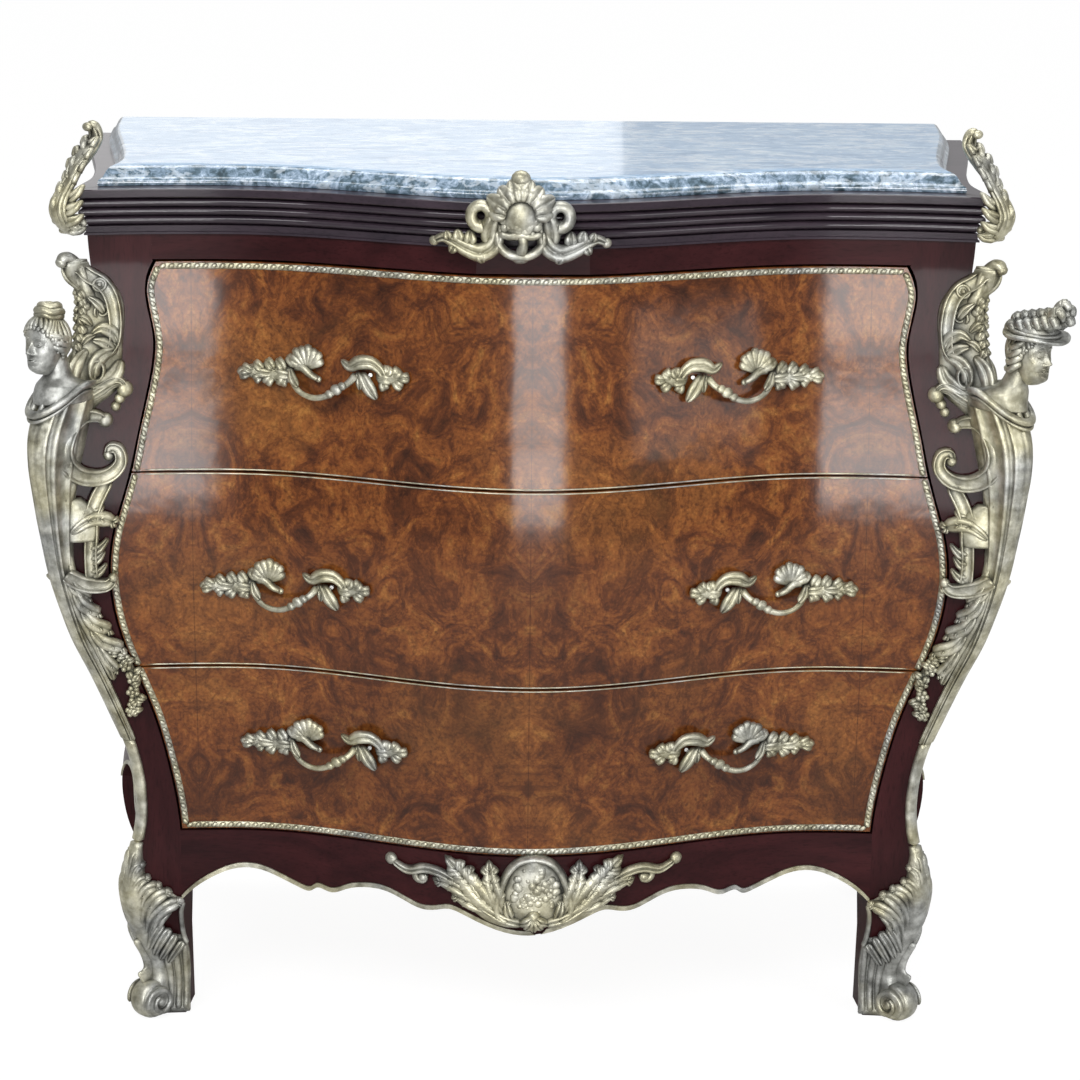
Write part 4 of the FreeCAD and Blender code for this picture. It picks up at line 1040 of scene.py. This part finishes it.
pick = random.Random(3)
for i in range(34):
    a, r = pick.uniform(0, 6.28), 19 * math.sqrt(pick.random())
    bead(bm, front, r * math.cos(a), 884 + r * math.sin(a), pick.uniform(3, 6), 19.4 - r * 0.36, 2.8,
         turns=10)
for flip in (-1, 1):
    side = crestPlace(flip)
    turns = [math.radians(-110 + 28 * k) for k in range(14)]
    ring = [(39 + 9.5 * math.cos(a), 884 + 10.5 * math.sin(a), 6) for a in turns]
    strap(bm, side, ring, [13, 12, 11, 11, 11, 12], 8, "round", 48, 0.03)
    bead(bm, side, 41, 876, 5, 7, 5)
    leaf(bm, side, [(22, 892, 8), (28, 880, 11), (31, 868, 8), (30, 856, 6)], 15, 6, 14, True)
    strap(bm, side, *crestParts["arm"], 8, "leaf", 34, 0.06)
    bead(bm, side, 85, 857, 5, 3, 5)
    for (base, tip), wide in crestParts["leaves"]:
        mid = ((base[0] + tip[0]) / 2, (base[1] + tip[1]) / 2, 8)
        leaf(bm, side, [(*base, 4), mid, (*tip, 4)], wide, 6)
for key in ("bowl", "stem", "bar"):
    strap(bm, front, *crestParts[key], 7, "round", 36)
bead(bm, front, 0, 844, 6.5, 6, 6, 9)
finishPiece(bm, "crestMount", "case", bronze, ["crest"])

apronMiddle = 7
apronParts = {      # right half, mm from the middle
    "edge": [(140, 14), (147, 28), (156, 37), (168, 37), (180, 34), (190, 31), (200, 26), (209, 18),
             (215, 9), (218, 3)],
    "rim": ([(-26, 146, 4), (-37, 154, 4), (-39, 166, 4), (-36, 179, 4), (-32, 191, 4), (-26, 203, 4),
             (-16, 213, 4), (0, 217, 4), (16, 213, 4), (26, 203, 4), (32, 191, 4), (36, 179, 4),
             (39, 166, 4), (37, 154, 4), (26, 146, 4)], [8, 10, 10, 9, 8, 7, 7, 7, 7, 7, 8, 9, 10, 10, 8]),
    "wing": ([(10, 146, 2), (26, 150, 3), (42, 158, 3), (58, 170, 3), (74, 184, 3), (92, 196, 2)],
             [14, 22, 28, 28, 22, 10]),
    "stem": ([(12, 145, 5), (34, 152, 7), (56, 166, 6), (76, 184, 5), (96, 195, 5), (114, 198, 4),
              (132, 194, 4), (148, 202, 3)], [10, 11, 10, 9, 10, 10, 9, 6]),
    "leaves": [([(34, 158, 4), (40, 176, 9), (45, 194, 8), (47, 214, 3)], 20, 4),
               ([(30, 152, 4), (52, 172, 9), (72, 194, 9), (93, 215, 3)], 25, 6),
               ([(46, 160, 5), (56, 180, 9), (66, 196, 7), (69, 206, 3)], 15, 3),
               ([(48, 158, 4), (68, 168, 8), (86, 174, 3)], 15, 3),
               ([(64, 172, 5), (84, 184, 8), (106, 188, 3)], 15, 3),
               ([(22, 148, 5), (27, 160, 8), (29, 172, 5)], 10, 2)],
}


def apronPlace(flip):
    def place(u, h, v):
        return onFront(apronMiddle + flip * u, h, v)
    return place


bm = bmesh.new()
front = apronPlace(1)
field(bm, front, [(v, -u) for v, u in apronParts["edge"]], apronParts["edge"], 8, 30)
for flip in (-1, 1):
    side = apronPlace(flip)
    strap(bm, side, *apronParts["wing"], 4, "round", 30, 0.08)
    for points, wide, teeth in apronParts["leaves"]:
        acanthus(bm, side, points, wide, 6, teeth, 0.66, blunt=False)
    strap(bm, side, *apronParts["stem"], 7, "leaf", 50, 0.05)
    strap(bm, side, hook((117, 189), 8, 90, -330, 0.6), [8, 8, 7, 5], 7, "round", 22)
    bead(bm, side, 116, 188, 5, 3, 6)
    bead(bm, side, 149, 203, 6.5, 2, 6)
    for i in range(0 if flip > 0 else 1, 3):        # shell under the cartouche, its middle lobe made once
        a = math.radians(-90 + 34 * i)
        mid, tip = [(r * math.cos(a), 152 + r * math.sin(a), lift) for r, lift in ((9, 11), (17, 4))]
        leaf(bm, side, [(0, 154, 9), mid, tip], 10, 6)
pick = random.Random(11)
for i in range(64):         # mottled field
    a, r = pick.uniform(0, 6.28), math.sqrt(pick.random())
    bead(bm, front, 24 * r * math.cos(a), 181 + 25 * r * math.sin(a), pick.uniform(2.5, 5.5), 7.6 - 2 * r,
         2.4, turns=10)
strap(bm, front, *apronParts["rim"], 9, "round", 80, 0.03)
bead(bm, front, 0, 153, 7.5, 8, 7)
finishPiece(bm, "apronMount", "case", bronze, ["apron_mount"])
print("crest and apron mount done")


# busts
faceShape = {       # heights from the chin to the crown; half width, front and back of the head, in mm
    "rows": (0.0621, 0.9379),
    "skull": [(-30, 7, 7, -6), (-27, 10, 13, -8), (-23, 12.5, 16.5, -10), (-17, 15, 17, -13),
              (-10, 16.8, 17.6, -18), (-3, 18, 17.8, -21.5), (5, 18.8, 18.8, -23), (12, 18.6, 19.2, -22.6),
              (18, 17, 17, -20.5), (24, 12.6, 12, -15.5), (28, 6.5, 5.5, -8), (29.4, 0.2, 0, 0)],
    "nose": [(-13, 0), (-11.5, 1.4), (-10, 5.6), (-8.6, 7.4), (-6.6, 6.6), (-3, 4.2), (0, 2.5), (2.5, 1.4),
             (5, 0.8), (8, 0)],
    "noseWide": [(-13, 4.2), (-9.5, 4.4), (-7, 3.2), (-3, 2.2), (2, 2.4), (5, 3.6), (8, 4)],
    "dabs": [   # (across, height, size across, size up, push)
        (6.6, 0.8, 4.6, 3.4, -3.0), (6.8, 5.6, 5.5, 2.0, 1.1), (9.4, -7, 6, 5.5, 1.3),
        (3.6, -9.8, 2.0, 1.8, 1.4), (0, -14.4, 5.0, 1.2, 1.9), (0, -17.6, 4.4, 1.3, 2.0),
        (0, -20.4, 4.5, 1.4, -0.8), (0, -25, 5.5, 3.4, 2.4), (0, -16, 6.2, 0.7, -1.1),
        (12.5, -15, 4, 4, -0.8)],
}
bustPlaces = {"Right": {"out": 84, "height": 748, "turn": 4, "tilt": 5,
                        "neck": [(46, 706), (54, 711), (60, 716), (65, 724), (71, 735), (75, 743)]},
              "Left": {"out": 66, "height": 748, "turn": 8, "tilt": 8,
                       "neck": [(42, 706), (46, 711), (48, 716), (50, 724), (54, 736), (57, 744)]}}


def buildHead(bm, place):
    skull = faceShape["skull"]
    wides, fronts, backs = [[(row[0], row[k]) for row in skull] for k in (1, 2, 3)]
    chin, crown = skull[0][0], skull[-1][0]
    first, span = faceShape["rows"]
    def at(s, t):
        row = 0.5 - 0.5 * math.cos(math.pi * (0.16 + 0.84 * s))     # closer together towards the crown
        v = chin + (crown - chin) * (row - first) / span
        turn = t * 2 - 1
        a = math.pi * turn * (0.35 + 0.65 * abs(turn) ** 1.1)       # finer steps over the face
        u = smooth(wides, v) * math.sin(a)
        depth = smooth(fronts, v) if abs(a) < math.pi / 2 else -smooth(backs, v)
        h = depth * math.cos(a)
        if abs(a) < math.pi / 2:
            h = depth * math.cos(a) ** 0.82
            if -13 < v < 8:
                h += smooth(faceShape["nose"], v) * math.exp(-(u / smooth(faceShape["noseWide"], v)) ** 2)
            for du, dv, sizeU, sizeV, push in faceShape["dabs"]:
                h += push * math.exp(-((abs(u) - du) / sizeU) ** 2 - ((v - dv) / sizeV) ** 2) * math.cos(a)
        return place(u, h, v)
    gridShape(bm, 96, 96, at)
    for sign in (-1, 1):
        bead(bm, place, 6.6 * sign, 0.7, 2.5, 14.1, 2.7, 3.5)          # eyeball
        for z, bow, size in ((0.9, 2.5, 1.7), (0.5, -1.7, 1.2)):        # upper and lower lid
            lid = [(3.2 * sign, z, 15.4), (5.2 * sign, z + bow * 0.8, 16.7), (7.6 * sign, z + bow, 16.6),
                   (10.2 * sign, z + bow * 0.2, 14.4)]
            freeStrap(bm, place, lid, size, 12, 8)
        brow = [(2.6 * sign, 5.0, 18.6), (6.4 * sign, 7.0, 18.9), (10.8 * sign, 6.0, 16.6)]
        freeStrap(bm, place, brow, 1.5, 12, 6)
        ear = [(17.6 * sign, -7.5, 0.5), (18.6 * sign, -4, -1.5), (19.3 * sign, 1, -3),
               (19.2 * sign, 4, -0.8), (18.4 * sign, 2.5, 1.2)]
        freeStrap(bm, place, ear, 3.0, 16, 8)
    for z, half, size in ((-14.9, 5.4, 1.7), (-17.0, 4.6, 1.9)):       # lips
        lip = [(-half, -15.9, 16.2), (-half * 0.45, z, 18.4), (0, z - 0.1, 18.9), (half * 0.45, z, 18.4),
               (half, -15.9, 16.2)]
        freeStrap(bm, place, lip, size, 16, 8)


# head axes: u to its left, h out of its face, v up
def bustFrame(side, nod=0):
    b = bustPlaces[side]
    centre = cornerAt(755) + outward * b["out"]
    centre.z = b["height"]
    a = math.radians(b["turn"])
    face = outward * math.cos(a) - across * math.sin(a)
    aside = Vector((0, 0, 1)).cross(face)
    tilt = math.radians(b["tilt"] + nod)
    def place(u, h, v):
        out = h * math.cos(tilt) - v * math.sin(tilt)
        up = h * math.sin(tilt) + v * math.cos(tilt)
        return (centre + aside * u + face * out + Vector((0, 0, up))) * mm
    return place


# point on the mass of hair at an angle from the face and a height, as (u, v, h)
def onHair(azimuth, v, proud=0.0):
    size = math.sqrt(max(0.0, 1 - ((v - 5) / 26.0) ** 2))
    a = math.radians(azimuth)
    return ((20.0 + proud) * size * math.sin(a), v, -2.6 + (22.4 + proud) * size * math.cos(a))


def hairline(azimuth):
    return level((17, 15.5, 8, -3, -12, -16, -17), abs(azimuth) / 180)


# locks drawn from the hairline up to the knot, over a rounded mass of hair
def hairLocks(bm, place, knotHeight):
    mass = bmesh.ops.create_uvsphere(bm, u_segments=40, v_segments=28, radius=1)["verts"]
    for v in mass:
        low = max(0.0, -v.co.z)
        deep = 21.6 if v.co.y > 0 else 22.4 + 2 * low
        tall = 25.2 if v.co.z > 0 else 21
        v.co = place(v.co.x * 19.6, -2.9 + v.co.y * deep, 4.6 + v.co.z * tall)
    count = 26
    for i in range(count):
        azimuth = -180 + 360 * (i + 0.5) / count
        start = hairline(azimuth)
        points = []
        for k in range(7):
            f = k / 6
            height = start + (knotHeight - start) * f ** 0.85
            points.append(onHair(azimuth + 7 * math.sin(3.1 * f + i), height, 0.5))
        freeStrap(bm, place, points, [5.6, 6.0, 5.6, 4.2, 2.6], 22, 8)
        if abs(azimuth) < 125:      # curl at the start of each lock
            root = onHair(azimuth, start, 1.0)
            bead(bm, place, root[0], root[1], 2.7, root[2], 2.5, 2.7, 8)


# round lock through points (u, v, h)
def freeStrap(bm, place, points, width, count, sides=8):
    widths = asList(width)
    rings = []
    for i in range(count + 1):
        s = i / count
        p = Vector(along(points, s))
        ahead = (Vector(along(points, s + 0.02)) - Vector(along(points, s - 0.02))).normalized()
        a = ahead.cross(Vector((0.12, 0.2, 1))).normalized()
        b = ahead.cross(a)
        radius = roundedEnd(s, 0.12) * level(widths, s) / 2
        ring = []
        for k in range(sides):
            angle = 2 * math.pi * k / sides
            q = p + (a * math.cos(angle) + b * math.sin(angle)) * radius
            ring.append(place(q.x, q.z, q.y))
        rings.append(ring)
    tube(bm, rings)


def buildShoulders(bm, neck):
    rows = [(688, 36, 34, 22.5), (697, 38, 33, 25)]
    for (out, z), deep, wide in zip(neck, (27, 20, 14.5, 12.5, 12, 11), (24, 19, 15, 12.5, 11.5, 11)):
        rows.append((z, out, deep, wide))
    cornerBody(bm, rows, 36)
    for drop, size in ((0, 8), (7, 4)):                     # rolled hem of the shawl
        ring = []
        for i in range(17):
            a = math.radians(-128 + 256 * i / 16)
            height = 707 - drop - 27 * max(0.0, math.cos(a))
            ring.append((37 + (35.5 - drop * 0.25) * math.cos(a), height,
                         (25.5 - drop * 0.1) * math.sin(a)))
        freeStrap(bm, onCorner, ring, size, 60, 12)
    for i in range(6):                                      # shallow folds towards the neck
        a = math.radians(-80 + 160 * i / 5)
        top = (neck[1][0] + 15 * math.cos(a), 711, 14 * math.sin(a))
        mid = (40 + 26 * math.cos(a), 703 - 9 * max(0, math.cos(a)), 21 * math.sin(a))
        end = (37 + 33 * math.cos(a), 702 - 24 * max(0, math.cos(a)), 24 * math.sin(a))
        freeStrap(bm, onCorner, [top, mid, end], [3, 6, 7], 14, 8)


def buildHat(bm, place):
    brim = bmesh.ops.create_cone(bm, cap_ends=True, segments=48, radius1=1, radius2=0.98, depth=1)["verts"]
    for v in brim:
        a = math.atan2(v.co.y, v.co.x)
        r2 = v.co.x ** 2 + v.co.y ** 2
        v.co = place(v.co.x * 30, v.co.y * 33 + 3, 20 + (1.5 * math.sin(3 * a) + 1.2) * r2 + v.co.z * 3.4)
    rim = [(30 * math.cos(a), 20.8 + 1.5 * math.sin(3 * a), 33 * math.sin(a) + 3) for a in roundAngles(12)]
    freeStrap(bm, place, rim, 4, 72, 8)
    crown = bmesh.ops.create_uvsphere(bm, u_segments=32, v_segments=20, radius=1)["verts"]
    for v in crown:         # higher towards the front
        tall = 15 + 7 * v.co.y if v.co.z > 0 else 4
        v.co = place(v.co.x * 21, v.co.y * 25 + 2, 22 + v.co.z * tall)
    freeStrap(bm, place, [(22 * math.cos(a), 24, 25.5 * math.sin(a) + 2) for a in roundAngles(12)], 5, 60)
    pick = random.Random(5)
    for i in range(6):      # heaped plumes and blossoms
        y = -19 + 9.6 * i
        top = 35 + 3.0 * i
        for side in (-1.6, -0.6, 0.6, 1.6):
            x = side * (9.5 - 0.5 * i)
            drop = 3.2 * side * side
            plume = [(x * 0.7, top - 12 - drop, y - 5), (x, top + 2 - drop, y + 1),
                     (x * 1.15, top - 6 - drop, y + 8)]
            freeStrap(bm, place, plume, [8, 12, 10, 6], 14, 10)
            blossom = (x + pick.uniform(-2, 2), top - 3 - drop + pick.uniform(-2, 2))
            bead(bm, place, *blossom, 3, y + 7, 3, 3, 8)
    for points in ([(0, 40, 24), (0, 53, 28), (0, 59, 34), (0, 54, 40)],
                   [(7, 38, 24), (9, 49, 29), (9, 52, 35), (7, 46, 39)],
                   [(-7, 38, 24), (-9, 49, 29), (-9, 52, 35), (-7, 46, 39)],
                   [(4, 36, 28), (5, 43, 36), (5, 38, 42)]):
        freeStrap(bm, place, points, [11, 13, 11, 7], 18, 10)


for side, name in ((1, "Right"), (-1, "Left")):
    bm = bmesh.new()
    head = bustFrame(name)
    buildShoulders(bm, bustPlaces[name]["neck"])
    buildHead(bm, head)
    hairLocks(bm, head, 29)
    if side > 0:
        buildHat(bm, bustFrame(name, -9))
        for sign in (-1, 1):
            for k in range(4):                              # side curls under the brim
                v = 13 - 7.5 * k
                curl = [(sign * 17, v + 3, 6 - 2 * k), (sign * 22, v, 2 - 2 * k),
                        (sign * 21.5, v - 4, -6 - 2 * k), (sign * 18, v - 2, -12 - 2 * k)]
                freeStrap(bm, head, curl, 7, 14)
        freeStrap(bm, head, [(-12, -10, -18), (0, -13, -22), (12, -10, -18)], 11, 20, 12)
    else:
        # coiled knot of hair
        for k, (r, v, size) in enumerate(((11.5, 28.5, 8), (12, 33.5, 8), (9.5, 38.5, 7))):
            coil = [(r * math.cos(a), v + 0.8 * math.sin(4 * a + k), r * math.sin(a) - 3)
                    for a in roundAngles(8)]
            freeStrap(bm, head, coil, size, 48, 10)
        bead(bm, head, 0, 36, 7, -3, 8, 8)
        for sign in (-1, 1):
            for k in range(3):                              # rolls over the ears
                v = 10 - 6 * k
                roll = [(sign * 15, v + 2, 11 - 3 * k), (sign * 20, v, 4 - 2 * k), (sign * 20.5, v - 2, -6),
                        (sign * 17, v - 2, -14)]
                freeStrap(bm, head, roll, 6.5, 16)
        bmesh.ops.scale(bm, vec=(-1, 1, 1), verts=bm.verts)
    finishPiece(bm, "bust" + name, "case", wornBronze, ["bust_" + name.lower()])
print("busts done")


# floor, light and camera
def stageSheet(name, size, colour):
    bm = bmesh.new()
    bmesh.ops.create_grid(bm, x_segments=1, y_segments=1, size=size)
    mesh = bpy.data.meshes.new(name)
    bm.to_mesh(mesh)
    bm.free()
    sheet = bpy.data.objects.new(name, mesh)
    bpy.context.scene.collection.objects.link(sheet)
    material, tree, shader = newMaterial(name + "Paper", **{"Base Color": (*colour, 1), "Roughness": 0.9})
    glow = addNode(tree, "Emission", Strength=1.16)
    seen = addNode(tree, "LightPath").outputs["Is Camera Ray"]
    share = mathNode(tree, "MULTIPLY", seen, 0.8)
    blend = addNode(tree, "MixShader", [(0, share), (1, shader.outputs[0]), (2, glow.outputs[0])])
    tree.links.new(blend.outputs[0], tree.nodes["Material Output"].inputs["Surface"])
    mesh.materials.append(material)


stageSheet("studioFloor", 30, (0.72, 0.72, 0.72))

world = bpy.data.worlds.new("studio")
bpy.context.scene.world = world
world.use_nodes = True
sky = world.node_tree.nodes["Background"].inputs
sky["Color"].default_value = (1, 1, 1, 1)
sky["Strength"].default_value = 0.45


def softLight(name, place, aim, size, power, shineOnly=False):
    light = bpy.data.lights.new(name, "AREA")
    light.shape = "RECTANGLE"
    light.size, light.size_y = size
    light.energy = power
    lamp = bpy.data.objects.new(name, light)
    bpy.context.scene.collection.objects.link(lamp)
    lamp.location = place
    lamp.visible_diffuse = not shineOnly        # only mirrored in polish and metal
    lamp.rotation_euler = (Vector(aim) - Vector(place)).to_track_quat("-Z", "Y").to_euler()


softLight("keyLight", (-0.9, -3.0, 3.0), (0, 0, 0.5), (2.8, 1.2), 85)
softLight("fillLight", (2.6, -2.2, 1.6), (0, 0, 0.5), (1.6, 1.6), 24)
softLight("topLight", (0.2, 0.4, 3.0), (0, 0, 0.6), (2.2, 1.6), 42)
softLight("frontShine", (0.30, -4.6, 0.80), (0.2, 0, 0.7), (1.8, 1.1), 85, True)
softLight("backShine", (-0.67, 4.0, 1.62), (-0.2, 0, 0.9), (1.9, 0.9), 2.6, True)

view = {"place": (-0.039, -3.141, 1.377), "pitch": 15.71, "yaw": 0.95, "roll": -0.64, "lens": 100.4,
        "sensor": 36}
pitch, yaw, roll = [math.radians(view[key]) for key in ("pitch", "yaw", "roll")]
ahead = Vector((math.sin(yaw) * math.cos(pitch), math.cos(yaw) * math.cos(pitch), -math.sin(pitch)))
levelRight = Vector((math.cos(yaw), -math.sin(yaw), 0))
levelDown = ahead.cross(levelRight)
right = levelRight * math.cos(roll) + levelDown * math.sin(roll)
down = levelDown * math.cos(roll) - levelRight * math.sin(roll)
camera = bpy.data.objects.new("camera", bpy.data.cameras.new("camera"))
bpy.context.scene.collection.objects.link(camera)
camera.data.lens = view["lens"]
camera.data.sensor_width = view["sensor"]
camera.data.clip_end = 100
axes = Matrix((right, -down, -ahead)).transposed()
camera.matrix_world = Matrix.Translation(view["place"]) @ axes.to_4x4()
bpy.context.scene.camera = camera
bpy.context.scene.view_settings.view_transform = "Standard"
print("stage done")
